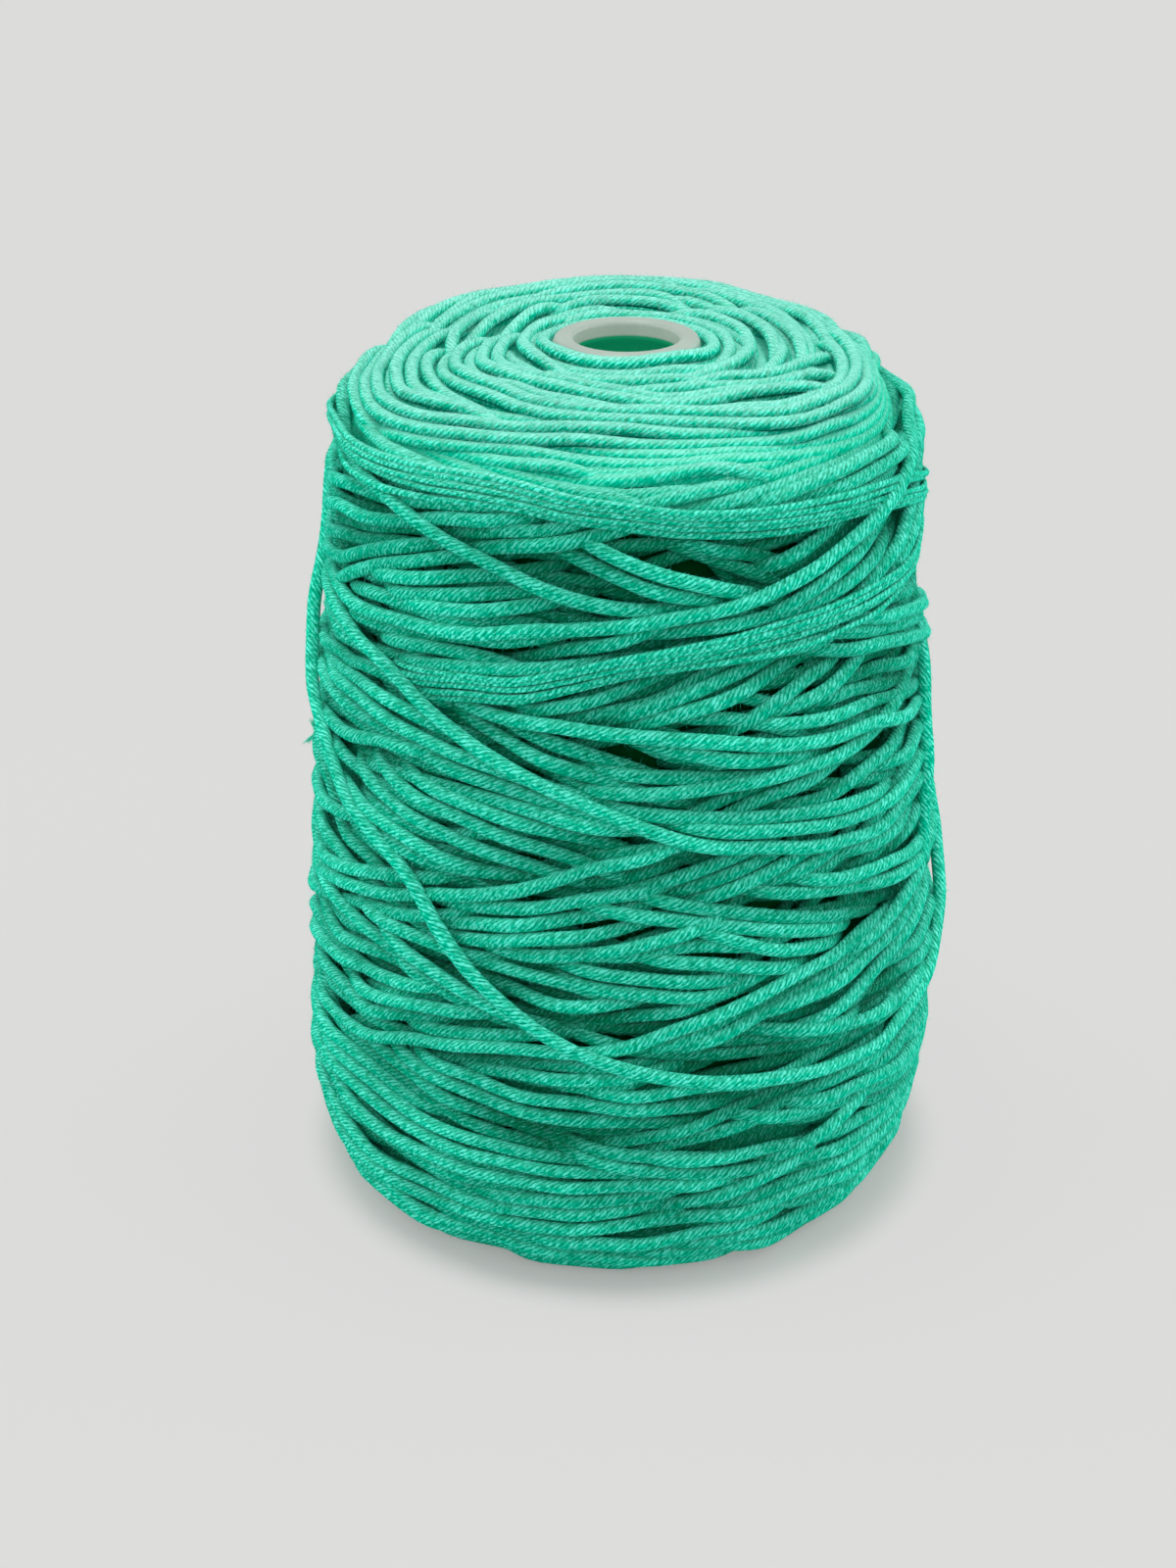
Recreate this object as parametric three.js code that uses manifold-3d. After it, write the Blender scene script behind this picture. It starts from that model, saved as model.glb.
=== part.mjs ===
// A cone of thick mint green yarn: a moulded plastic cone tube with a soft, cross-wound package of yarn on it.
// Millimetres, +Z up. The origin is on the tube's axis, on the plane that the package stands on.
// -Y is the front. An azimuth is in degrees, 0 at the front and growing towards +X.
import * as THREE from 'three';
import { mergeVertices } from 'three/addons/utils/BufferGeometryUtils.js';
import Module from 'manifold-3d';

// ---- driving dimensions -------------------------------------------------------------------------------
const TUBE = {
  height: 203,        // foot to rim
  noseRadius: 16,     // outside of the rim
  taperDegrees: 5.95, // half angle of the tube's wall
  wall: 1.6,
  boreRadius: 11.7,   // hole through the thick lip at the rim
  lipDepth: 4.0,      // how far the thick lip reaches down
  lipRound: 0.9,      // rounding of the lip's edges
  footWidth: 3.6,     // width of the turned-in foot
  footDepth: 2.4,
};
const TOP_SHIFT = 1.6;      // the package leans to -X at the top
const TOP_TILT = 2.2;       // the top face is this much higher at the back, and lower at the front
const SHIFT_FROM = 130;     // height at which the lean and the tilt start
const HELD_TO_FREE = [18, 42]; // radii between which the yarn goes from held by the rim to free
const PIECE_GAP = 0.3;      // clearance between the tube and the yarn around it
const YARN_RADIUS = 1.7;    // half the thickness of one yarn

// Crest line of the wound package, from beside the rim, over the top and down to the flat underside.
const PACKAGE_PROFILE = [
  { radius: 17.2, height: 200.0 },
  { radius: 24.0, height: 202.3 },
  { radius: 36.0, height: 202.4 },
  { radius: 48.0, height: 201.4 },
  { radius: 56.0, height: 198.4 },
  { radius: 62.0, height: 192.4 },
  { radius: 65.2, height: 185.2 },
  { radius: 66.0, height: 176.0 },
  { radius: 66.8, height: 164.0 },
  { radius: 68.2, height: 150.0 },
  { radius: 71.0, height: 128.0 },
  { radius: 73.0, height: 100.0 },
  { radius: 75.0, height: 72.0 },
  { radius: 75.6, height: 47.0 },
  { radius: 75.2, height: 28.0 },
  { radius: 73.0, height: 14.0 },
  { radius: 69.0, height: 5.0 },
  { radius: 62.5, height: 0.0 },
];
const UNDERSIDE_RADII = [56, 47];   // rings on the flat underside, between its edge and the tube

// Bundles of turns that ride up on the others. Each goes once round the package as a tilted hoop:
// reach is measured along the surface from the rim, sway is the tilt and toward is the azimuth where
// the hoop lies lowest. width is half of the bundle's width, proud how far it stands out of the troughs.
const BUNDLES = [
  { reach: 8, sway: 3, toward: 200, width: 6, proud: 1.6 },
  { reach: 19, sway: 5, toward: 40, width: 6.5, proud: 1.9 },
  { reach: 30, sway: 6, toward: 290, width: 6.5, proud: 1.9 },
  { reach: 41, sway: 6, toward: 150, width: 6.5, proud: 2.0 },
  { reach: 53, sway: 6, toward: 20, width: 7, proud: 2.1 },
  { reach: 66, sway: 7, toward: 250, width: 7, proud: 2.2 },
  { reach: 77, sway: 12, toward: 60, width: 6.5, proud: 2.1 },
  { reach: 88, sway: 14, toward: 300, width: 6.5, proud: 2.2 },
  { reach: 99, sway: 12, toward: 170, width: 6.5, proud: 2.1 },
  { reach: 110, sway: 15, toward: 35, width: 6.5, proud: 2.2 },
  { reach: 121, sway: 13, toward: 265, width: 6.5, proud: 2.1 },
  { reach: 132, sway: 14, toward: 120, width: 6.5, proud: 2.2 },
  { reach: 143, sway: 12, toward: 330, width: 6.5, proud: 2.1 },
  { reach: 155, sway: 14, toward: 80, width: 6.5, proud: 2.2 },
  { reach: 167, sway: 13, toward: 215, width: 6.5, proud: 2.1 },
  { reach: 179, sway: 12, toward: 10, width: 7, proud: 2.1 },
  { reach: 191, sway: 10, toward: 140, width: 7, proud: 2.0 },
  { reach: 203, sway: 8, toward: 300, width: 7, proud: 1.8 },
  { reach: 215, sway: 6, toward: 60, width: 7, proud: 1.6 },
];
const RELIEF = 2.1;   // depth of the troughs between the bundles

// Slack turns that lie over the package. Both ends of each one dive under other turns at the back.
// clear is how far the yarn's middle stands off the crest line.
const SLACK_TURNS = {
  hanging: [
    { azimuth: -150, height: 171, clear: -4.5 },
    { azimuth: -138, height: 176, clear: -1.0 },
    { azimuth: -122, height: 176, clear: 0.6 },
    { azimuth: -104, height: 169, clear: 1.0 },
    { azimuth: -92, height: 151, clear: 1.2 },
    { azimuth: -80, height: 128, clear: 1.1 },
    { azimuth: -64, height: 114, clear: 1.0 },
    { azimuth: -42, height: 99, clear: 1.0 },
    { azimuth: -22, height: 77, clear: 1.0 },
    { azimuth: 0, height: 62, clear: 1.0 },
    { azimuth: 22, height: 56, clear: 1.0 },
    { azimuth: 48, height: 52.5, clear: 1.0 },
    { azimuth: 66, height: 56, clear: 1.0 },
    { azimuth: 86, height: 74, clear: 1.1 },
    { azimuth: 104, height: 110, clear: 1.0 },
    { azimuth: 124, height: 137, clear: 0.8 },
    { azimuth: 140, height: 149, clear: -1.0 },
    { azimuth: 152, height: 155, clear: -4.5 },
  ],
  crossing: [
    { azimuth: -108, height: 150, clear: -4.5 },
    { azimuth: -96, height: 151, clear: -1.0 },
    { azimuth: -66, height: 148.5, clear: 0.8 },
    { azimuth: -40, height: 139.5, clear: 0.8 },
    { azimuth: -10, height: 125, clear: 0.8 },
    { azimuth: 18, height: 112, clear: 0.8 },
    { azimuth: 50, height: 105.5, clear: 0.8 },
    { azimuth: 75, height: 107.5, clear: 0.8 },
    { azimuth: 96, height: 114, clear: -1.0 },
    { azimuth: 106, height: 120, clear: -4.5 },
  ],
  bright: [
    { azimuth: -104, height: 149, clear: -4.5 },
    { azimuth: -92, height: 150.5, clear: -1.0 },
    { azimuth: -70, height: 154, clear: 0.8 },
    { azimuth: -40, height: 156, clear: 0.8 },
    { azimuth: -10, height: 162, clear: 0.9 },
    { azimuth: 20, height: 166.5, clear: 0.9 },
    { azimuth: 50, height: 175.5, clear: 0.8 },
    { azimuth: 72, height: 183, clear: -1.0 },
    { azimuth: 84, height: 187, clear: -4.5 },
  ],
  behind: [
    { azimuth: 72, height: 134, clear: -4.5 },
    { azimuth: 84, height: 133, clear: -1.0 },
    { azimuth: 110, height: 126, clear: 0.9 },
    { azimuth: 145, height: 112, clear: 0.9 },
    { azimuth: 180, height: 92, clear: 0.9 },
    { azimuth: 215, height: 80, clear: 0.9 },
    { azimuth: 245, height: 78, clear: 0.8 },
    { azimuth: 268, height: 84, clear: -1.0 },
    { azimuth: 280, height: 88, clear: -4.5 },
  ],
  low: [
    { azimuth: 110, height: 30, clear: -4.5 },
    { azimuth: 122, height: 32, clear: -1.0 },
    { azimuth: 150, height: 40, clear: 0.8 },
    { azimuth: 185, height: 54, clear: 0.8 },
    { azimuth: 225, height: 61, clear: 0.8 },
    { azimuth: 265, height: 55, clear: 0.7 },
    { azimuth: 300, height: 41, clear: 0.8 },
    { azimuth: 328, height: 30, clear: -1.0 },
    { azimuth: 340, height: 26, clear: -4.5 },
  ],
};

const ROUND = 64;          // facets round the package
const PROFILE_STEPS = 38;  // rows down the package's crest line
const SLACK_STEP = 11;     // length of one step along a slack turn
const SLACK_QUARTER = 2;   // sides in a quarter of a slack turn's section
const TUBE_FACETS = 32;
const LIP_STEPS = 3;       // steps in each rounding of the lip
const EDGE_FADE = 10;      // the bundles fade out this close to the ends of the crest line
const WIDEST_TOP = 60;     // the crest line is past the top face beyond this radius
const SAME_POINT = 1e-3;

const PLASTIC = new THREE.MeshStandardMaterial({ color: 0xc9cdc4, roughness: 0.38, metalness: 0 });
const YARN = new THREE.MeshStandardMaterial({ color: 0x2fc9a0, roughness: 0.95, metalness: 0 });

// ---- helpers ------------------------------------------------------------------------------------------
const wasm = await Module();
wasm.setup();

function solidOf(geometry) {
  const bare = new THREE.BufferGeometry();
  bare.setAttribute('position', geometry.getAttribute('position').clone());
  if (geometry.index) bare.setIndex(geometry.index.clone());
  const merged = mergeVertices(bare, 1e-4);
  return new wasm.Manifold(new wasm.Mesh({
    numProp: 3,
    vertProperties: Float32Array.from(merged.getAttribute('position').array),
    triVerts: Uint32Array.from(merged.index.array),
  }));
}

function geometryOf(solid) {
  const mesh = solid.getMesh();
  const geometry = new THREE.BufferGeometry();
  geometry.setAttribute('position', new THREE.BufferAttribute(Float32Array.from(mesh.vertProperties), 3));
  geometry.setIndex(Array.from(mesh.triVerts));
  geometry.computeVertexNormals();
  return geometry;
}

function around(radius, azimuth, height) {
  return new THREE.Vector3(radius * Math.sin(azimuth), -radius * Math.cos(azimuth), height);
}

// ---- the moulded tube ---------------------------------------------------------------------------------
const taper = Math.tan(THREE.MathUtils.degToRad(TUBE.taperDegrees));
const tubeOuterRadius = (height) => TUBE.noseRadius + (TUBE.height - height) * taper;

function tubeGeometry() {
  const { height, wall, boreRadius, lipDepth, lipRound, footWidth, footDepth } = TUBE;
  const top = height - lipRound;
  const under = height - lipDepth;
  const profile = new THREE.Path();
  profile.moveTo(tubeOuterRadius(0), 0);
  profile.lineTo(tubeOuterRadius(top), top);
  profile.absarc(TUBE.noseRadius - lipRound, top, lipRound, 0, Math.PI / 2, false);
  profile.lineTo(boreRadius + lipRound, height);
  profile.absarc(boreRadius + lipRound, top, lipRound, Math.PI / 2, Math.PI, false);
  profile.lineTo(boreRadius, under);
  profile.lineTo(tubeOuterRadius(under - wall) - wall, under - wall);
  profile.lineTo(tubeOuterRadius(footDepth) - wall, footDepth + wall);
  profile.lineTo(tubeOuterRadius(0) - footWidth, footDepth);
  profile.lineTo(tubeOuterRadius(0) - footWidth, 0);
  profile.lineTo(tubeOuterRadius(0), 0);
  const points = profile.getPoints(LIP_STEPS).filter((point, i, all) => (
    i === 0 || point.distanceTo(all[i - 1]) > SAME_POINT
  ));
  return new THREE.LatheGeometry(points, TUBE_FACETS).rotateX(Math.PI / 2);
}

// ---- the wound package --------------------------------------------------------------------------------
// Points down the crest line, with the direction out of the package and the way come from the rim.
function crestLine() {
  const table = PACKAGE_PROFILE.map(({ radius, height }) => new THREE.Vector2(radius, height));
  const points = new THREE.SplineCurve(table).getSpacedPoints(PROFILE_STEPS);
  let reach = 0;
  return points.map((point, i) => {
    const before = points[Math.max(i - 1, 0)];
    const after = points[Math.min(i + 1, points.length - 1)];
    reach += point.distanceTo(before);
    const run = after.clone().sub(before).normalize();
    return { radius: point.x, height: Math.max(point.y, 0), out: new THREE.Vector2(-run.y, run.x), reach };
  });
}

function bundleHeight(reach, azimuth) {
  const heights = BUNDLES.map(({ reach: middle, sway, toward, width, proud }) => {
    const off = reach - middle - sway * Math.cos(azimuth - THREE.MathUtils.degToRad(toward));
    return Math.abs(off) < width ? proud * Math.cos((off / width) * (Math.PI / 2)) : 0;
  });
  return Math.max(...heights) - RELIEF;
}

// The soft package has sunk a little to one side at its top.
function settled(point) {
  const free = THREE.MathUtils.smoothstep(Math.hypot(point.x, point.y), ...HELD_TO_FREE);
  const share = free * THREE.MathUtils.smoothstep(point.z, SHIFT_FROM, TUBE.height);
  return new THREE.Vector3(
    point.x - TOP_SHIFT * share,
    point.y,
    point.z + (TOP_TILT * share * point.y) / PACKAGE_PROFILE[3].radius,
  );
}

// The crest line turned round the tube, closed by a flat underside and a bore that clears the tube.
// The bundles then lift each point of the crest line out of the package or let it sink in.
function packageGeometry() {
  const crest = crestLine();
  const length = crest.at(-1).reach;
  const boreEdge = (height) => new THREE.Vector2(tubeOuterRadius(height) + PIECE_GAP, height);
  const underside = UNDERSIDE_RADII.map((radius) => new THREE.Vector2(radius, 0));
  const outline = crest.map(({ radius, height }) => new THREE.Vector2(radius, height));
  const section = [...outline, ...underside, boreEdge(0), boreEdge(crest[0].height), outline[0]];
  const lathe = new THREE.LatheGeometry(section.reverse(), ROUND).rotateX(Math.PI / 2);
  const position = lathe.getAttribute('position');
  for (let i = 0; i < position.count; i += 1) {
    const row = crest[(section.length - 1 - (i % section.length)) % (section.length - 1)];
    if (row) {
      const column = Math.floor(i / section.length) % ROUND;
      const azimuth = (column / ROUND) * 2 * Math.PI;
      const fade = Math.min(1, row.reach / EDGE_FADE, (length - row.reach) / EDGE_FADE);
      const lift = bundleHeight(row.reach, azimuth) * fade;
      const place = settled(around(row.radius + row.out.x * lift, azimuth, row.height + row.out.y * lift));
      position.setXYZ(i, place.x, place.y, Math.max(place.z, 0));
    }
  }
  return lathe;
}

function crestRadius(height) {
  const below = PACKAGE_PROFILE.findIndex((row) => row.radius > WIDEST_TOP && row.height < height);
  const [upper, lower] = [PACKAGE_PROFILE[below - 1], PACKAGE_PROFILE[below]];
  const share = (upper.height - height) / (upper.height - lower.height);
  return THREE.MathUtils.lerp(upper.radius, lower.radius, share);
}

function slackTurnGeometry(rows) {
  const places = rows.map(({ azimuth, height, clear }) => (
    settled(around(crestRadius(height) + clear, THREE.MathUtils.degToRad(azimuth), height))
  ));
  const extrudePath = new THREE.CatmullRomCurve3(places, false, 'centripetal');
  const steps = Math.round(extrudePath.getLength() / SLACK_STEP);
  const section = new THREE.Shape().absarc(0, 0, YARN_RADIUS, 0, 2 * Math.PI, false);
  return new THREE.ExtrudeGeometry(section, { extrudePath, steps, curveSegments: 2 * SLACK_QUARTER });
}

function yarnGeometry() {
  const turns = Object.values(SLACK_TURNS).map((rows) => solidOf(slackTurnGeometry(rows)));
  return geometryOf(turns.reduce((whole, turn) => whole.add(turn), solidOf(packageGeometry())));
}

// ---- the object ---------------------------------------------------------------------------------------
function named(name, geometry, material) {
  const mesh = new THREE.Mesh(geometry, material);
  mesh.name = name;
  return mesh;
}

const cone = new THREE.Group();
cone.add(named('cone_tube', tubeGeometry(), PLASTIC));
cone.add(named('yarn_package', yarnGeometry(), YARN));

export default cone;
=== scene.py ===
import math

import bpy
import numpy as np
from bpy.props import FloatProperty, FloatVectorProperty, IntProperty, PointerProperty
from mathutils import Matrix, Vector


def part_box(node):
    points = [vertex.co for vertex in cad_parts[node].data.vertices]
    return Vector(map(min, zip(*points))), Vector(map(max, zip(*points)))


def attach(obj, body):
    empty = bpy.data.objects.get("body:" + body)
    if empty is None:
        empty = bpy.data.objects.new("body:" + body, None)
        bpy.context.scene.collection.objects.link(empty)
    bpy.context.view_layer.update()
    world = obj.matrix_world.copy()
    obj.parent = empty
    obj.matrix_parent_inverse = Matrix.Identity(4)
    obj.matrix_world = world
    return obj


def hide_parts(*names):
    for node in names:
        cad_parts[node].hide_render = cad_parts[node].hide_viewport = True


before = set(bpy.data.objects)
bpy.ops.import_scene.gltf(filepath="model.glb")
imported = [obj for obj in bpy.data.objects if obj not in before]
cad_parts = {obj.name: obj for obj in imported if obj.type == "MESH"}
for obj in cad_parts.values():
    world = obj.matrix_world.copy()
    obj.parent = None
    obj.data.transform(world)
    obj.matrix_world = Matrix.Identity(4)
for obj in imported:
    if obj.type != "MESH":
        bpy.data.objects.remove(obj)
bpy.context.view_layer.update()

bl_info = {
    "name": "Cone of yarn",
    "version": (1, 0, 0),
    "blender": (4, 5, 0),
    "location": "View3D > Sidebar > Yarn cone",
    "description": "Winds a soft package of thick yarn on a moulded cone tube",
    "category": "Object",
}

# Lengths are in millimetres until a mesh is made. A reach is measured along the package's surface from the
# rim, over the top, down the side and in under it. An azimuth is 0 at the front and grows towards +X. A lift
# is the height over the crest line, which is the package's outline over its highest turns.
MM = 0.001
ROUND = 2 * math.pi
TUBE_NODE, YARN_NODE = "cone_tube", "yarn_package"
TUBE_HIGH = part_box(TUBE_NODE)[1]
TUBE_HEIGHT = TUBE_HIGH.z / MM
TUBE_FOOT_RADIUS = TUBE_HIGH.x / MM
TUBE_NOSE_RADIUS = 16.0
MEAN_RADIUS = 70.0    # of the package's side

# The crest line, as (radius, height).
CREST_LINE = (
    (16.3, 200.4), (18.5, 202.6), (24.0, 202.9), (36.0, 202.5), (48.0, 201.4), (56.0, 198.4),
    (62.8, 192.4), (66.2, 185.2), (67.0, 176.0), (67.4, 166.0), (67.8, 158.0), (68.4, 150.0),
    (69.6, 140.0), (71.0, 128.0), (73.0, 100.0), (75.0, 72.0), (75.6, 48.0), (75.2, 28.0),
    (73.0, 14.0), (69.0, 5.0), (62.5, 0.0), (54.0, 0.0), (43.0, 0.0),
)
TOP_SHIFT, TOP_TILT, SHIFT_FROM = 0.8, 2.2, 130.0   # the soft top leans to -X and is higher at the back
HELD_TO_FREE = (18.0, 42.0)                         # radii between which the rim stops holding the yarn
TILT_RADIUS = 48.0                                  # where the tilt has its whole height
FOOT_SHIFT, FOOT_TO = 1.8, 62.0                     # the lowest turns sit a little to -X as well
FOOT_BEGINS = (45.0, 65.0)                          # radii between which they begin to
SEED = 7


def linear(colour):
    """An sRGB hex colour as linear red, green and blue."""
    parts = [int(colour[i:i + 2], 16) / 255 for i in (1, 3, 5)]
    return tuple(c / 12.92 if c <= 0.04045 else ((c + 0.055) / 1.055) ** 2.4 for c in parts)


def colour_property(name, description, colour):
    return FloatVectorProperty(
        name=name, description=description, default=linear(colour), subtype="COLOR", min=0.0, max=1.0,
    )


# ---- what a user may change ---------------------------------------------------------------------------
class YarnSizes(bpy.types.PropertyGroup):
    """The yarn and how it is wound."""

    radius: FloatProperty(
        name="Yarn radius", description="Half the thickness of one yarn, in millimetres",
        default=1.52, min=0.8, max=3.0,
    )
    plies: IntProperty(name="Plies", description="Plies twisted into one yarn", default=8, min=2, max=16)
    lead: FloatProperty(
        name="Twist lead", description="Length in which a ply goes once round the yarn, in millimetres",
        default=11.0, min=4.0, max=40.0,
    )
    crossing: FloatProperty(
        name="Crossing angle", description="Mean slope of a turn against the horizontal",
        default=math.radians(12.0), min=math.radians(3.0), max=math.radians(30.0), subtype="ANGLE",
    )
    groups: IntProperty(
        name="Groups", description="Groups of neighbouring turns wound under the outer ones",
        default=3, min=1, max=20,
    )
    fibres: IntProperty(
        name="Loose fibres", description="Fibres that stand off the yarn", default=390000, min=0, max=400000,
    )
    body: colour_property("Yarn", "Colour of the dyed fibre", "#00C8A2")
    # Painted highlight on the ridges of the plies; the loose fibres also take tones up to it at random.
    light: colour_property("Yarn highlights", "Colour of the raised fibre ends", "#60F0DA")
    # Painted shade in the grooves between the plies.
    deep: colour_property("Yarn grooves", "Colour between the plies", "#006A40")
    # Painted highlight: a pale colour laid on what faces up, most of all on the top.
    top_highlight: colour_property("Yarn nap", "Colour of the pale nap on what faces up", "#90CCC0")
    # Painted shade where a turn lies between others, and over all of the inner mass.
    shaded: colour_property("Yarn between others", "Colour where light comes through other turns", "#004A20")


class TubeFinish(bpy.types.PropertyGroup):
    """The moulded tube."""

    plastic: colour_property("Plastic", "Natural polypropylene at the rim", "#8E9C92")
    # Colour of the wall below the lip, which also glows faintly there as painted light.
    through: colour_property("Yarn through the wall", "Colour of the yarn behind the tube's wall", "#06704C")


class StageLook(bpy.types.PropertyGroup):
    """The colour of the floor and backdrop, and the camera's lens."""

    backdrop: colour_property("Backdrop", "Colour of the floor and the backdrop", "#DCDCDB")
    lens: FloatProperty(
        name="Lens", description="Focal length of the camera", default=57.8, min=20.0, max=200.0,
        unit="CAMERA",
    )


def sizes():
    return bpy.context.scene.yarn_sizes


# ---- small tools for routes ---------------------------------------------------------------------------
def share_of(value, span):
    """How far a value has come through a span, from 0 to 1."""
    return np.clip((value - span[0]) / (span[1] - span[0]), 0, 1)


def eased(share):
    """A share that starts slowly and ends slowly."""
    return share * share * (3 - 2 * share)


def spline(x, y, at):
    """A smooth curve through the points (x, y), read at the places given."""
    slope = np.gradient(y, x)
    i = np.clip(np.searchsorted(x, at) - 1, 0, len(x) - 2)
    gap = x[i + 1] - x[i]
    t = (at - x[i]) / gap
    rise = eased(t)
    return (
        y[i] * (1 - rise) + y[i + 1] * rise
        + gap * (t * (1 - t) ** 2 * slope[i] - t * t * (1 - t) * slope[i + 1])
    )


def blurred(values, width):
    """Values along a route, smoothed with a bell of that width in samples."""
    reach = int(3 * width) + 1
    bell = np.exp(-0.5 * (np.arange(-reach, reach + 1) / width) ** 2)
    padded = np.pad(values, reach, mode="edge")
    return np.convolve(padded, bell / bell.sum(), mode="valid")


def resampled(values, count):
    """Values along a route, read at another number of even places."""
    values = np.atleast_1d(values)
    return np.interp(np.linspace(0, 1, count), np.linspace(0, 1, len(values)), values)


def travelled(*steps):
    """The length of the way up to each point, from the steps between them in two directions."""
    return np.concatenate(([0], np.cumsum(np.hypot(*steps))))


def wobble(rng, length, step, wave, size):
    """A slow, uneven sway along a route."""
    knots = np.arange(-wave, length + 2 * wave, wave)
    return spline(knots, rng.normal(0, size, len(knots)), np.arange(0, length, step))


# ---- the package's outline ----------------------------------------------------------------------------
OUTLINE_STEP = 0.5
OUTLINE_BLUR = 6      # samples over which its direction is evened out
SIDE_FROM = 50.0      # the radius beyond which the crest line turns down the side


def outline():
    """Reach, radius, height and outward direction, every OUTLINE_STEP down the crest line."""
    radius, height = np.array(CREST_LINE).T
    chord = travelled(np.diff(radius), np.diff(height))
    fine = np.arange(0, chord[-1], OUTLINE_STEP / 4)
    radius, height = spline(chord, radius, fine), spline(chord, height, fine)
    reach = travelled(np.diff(radius), np.diff(height))
    even = np.arange(0, reach[-1], OUTLINE_STEP)
    radius, height = np.interp(even, reach, radius), np.interp(even, reach, height)
    out = blurred(-np.gradient(height), OUTLINE_BLUR), blurred(np.gradient(radius), OUTLINE_BLUR)
    size = np.hypot(*out)
    return even, radius, height, out[0] / size, out[1] / size


REACHES, RADII, HEIGHTS, OUT_RADIAL, OUT_UP = outline()
SIDE = np.argmax(RADII > SIDE_FROM)
RIM_REACH = 1.8                               # the nearest that a turn's middle comes to the rim
REACH_LIMITS = (RIM_REACH, REACHES[-1] - 2)


def radius_at(reach):
    return np.interp(reach, REACHES, RADII)


def reach_of(height):
    """The reach of a height on the package's side."""
    return np.interp(-np.asarray(height, float), -HEIGHTS[SIDE:], REACHES[SIDE:])


def settled(points):
    """The soft package has sunk a little to one side at its top and its foot."""
    x, y, z = points.T
    radius = np.hypot(x, y)
    leaning = eased(share_of(z, (SHIFT_FROM, TUBE_HEIGHT))) * eased(share_of(radius, HELD_TO_FREE))
    low = eased(share_of(z, (FOOT_TO, 0.0)) * share_of(radius, FOOT_BEGINS))
    aside = TOP_SHIFT * leaning + FOOT_SHIFT * low
    return np.column_stack((x - aside, y, z + TOP_TILT * leaning * y / TILT_RADIUS))


def place(azimuth, reach, lift):
    """Points in the part's frame, and the package's outward direction there."""
    radial, up = np.interp(reach, REACHES, OUT_RADIAL), np.interp(reach, REACHES, OUT_UP)
    radius = radius_at(reach) + radial * lift
    height = np.interp(reach, REACHES, HEIGHTS) + up * lift
    sine, cosine = np.sin(azimuth), np.cos(azimuth)
    out = np.column_stack((radial * sine, -radial * cosine, up))
    return settled(np.column_stack((radius * sine, -radius * cosine, height))), out


# ---- winding ------------------------------------------------------------------------------------------
STEP = 1.5            # between the samples of a route
CELL = 0.6            # of the height map
COLUMNS = 720
GIVE = 0.6            # how much of its half thickness a soft yarn keeps where it is pressed
TAUT_BEND = 60.0      # radius of the bow in which a turn comes up again beside a crossing
BEND_REACH = 30.0     # how far that bow is followed
DIVE = 20.0           # length over which an end goes in under its neighbours
RUN_ON = 13.0         # how far it runs on for that
HOLDS_TO = 0.7        # how deep an end has gone in where it stops holding others down
PIN_REACH = 26.0      # length over which a pinned end comes to its pin's height
HOLD_REACH = 20.0     # length over which a held end becomes free to move aside
# How a route settles between the turns over it: how often it is moved, how far to each side it feels for
# room, how strongly it moves there, and over how many samples that is smoothed.
NEST_ROUNDS, NEST_FEEL, NEST_PULL, NEST_BLUR = 10, 1.2, 1.6, 3
LIFT_BLUR = 2.0       # samples
CREST_SWAY = 0.55     # how unevenly the outermost turns lie
CREST_DROP = 0.35     # how far under the crest line they lie on the whole
# The waves that this sway is made of: how many, how often they go up and down in one round, and their length
# down the side.
CREST_WAVES, WAVES_ROUND, WAVE_LENGTHS, ANY_PHASE = 60, (3, 22), (18, 60), 6.3
DEEP_FROM, DEEP_MORE = 5.0, 2.6       # the depth from which turns are packed closer, and what they still gain
ACROSS_UNDER = np.linspace(-0.88, 0.88, 7)    # shares of its radius at which a turn has to fit under others
ACROSS_OVER = np.linspace(-1, 1, 9)           # and at which it then lowers the map
COVER_STEP = 0.5                              # between the places along a turn where it does that


class Turn:
    """One laid length of yarn: where it runs, how high it lies and how thick it is."""

    def __init__(self, azimuth, reach, lift, radius):
        self.azimuth, self.reach = azimuth, reach
        self.lift, self.radius = lift, radius


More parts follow.
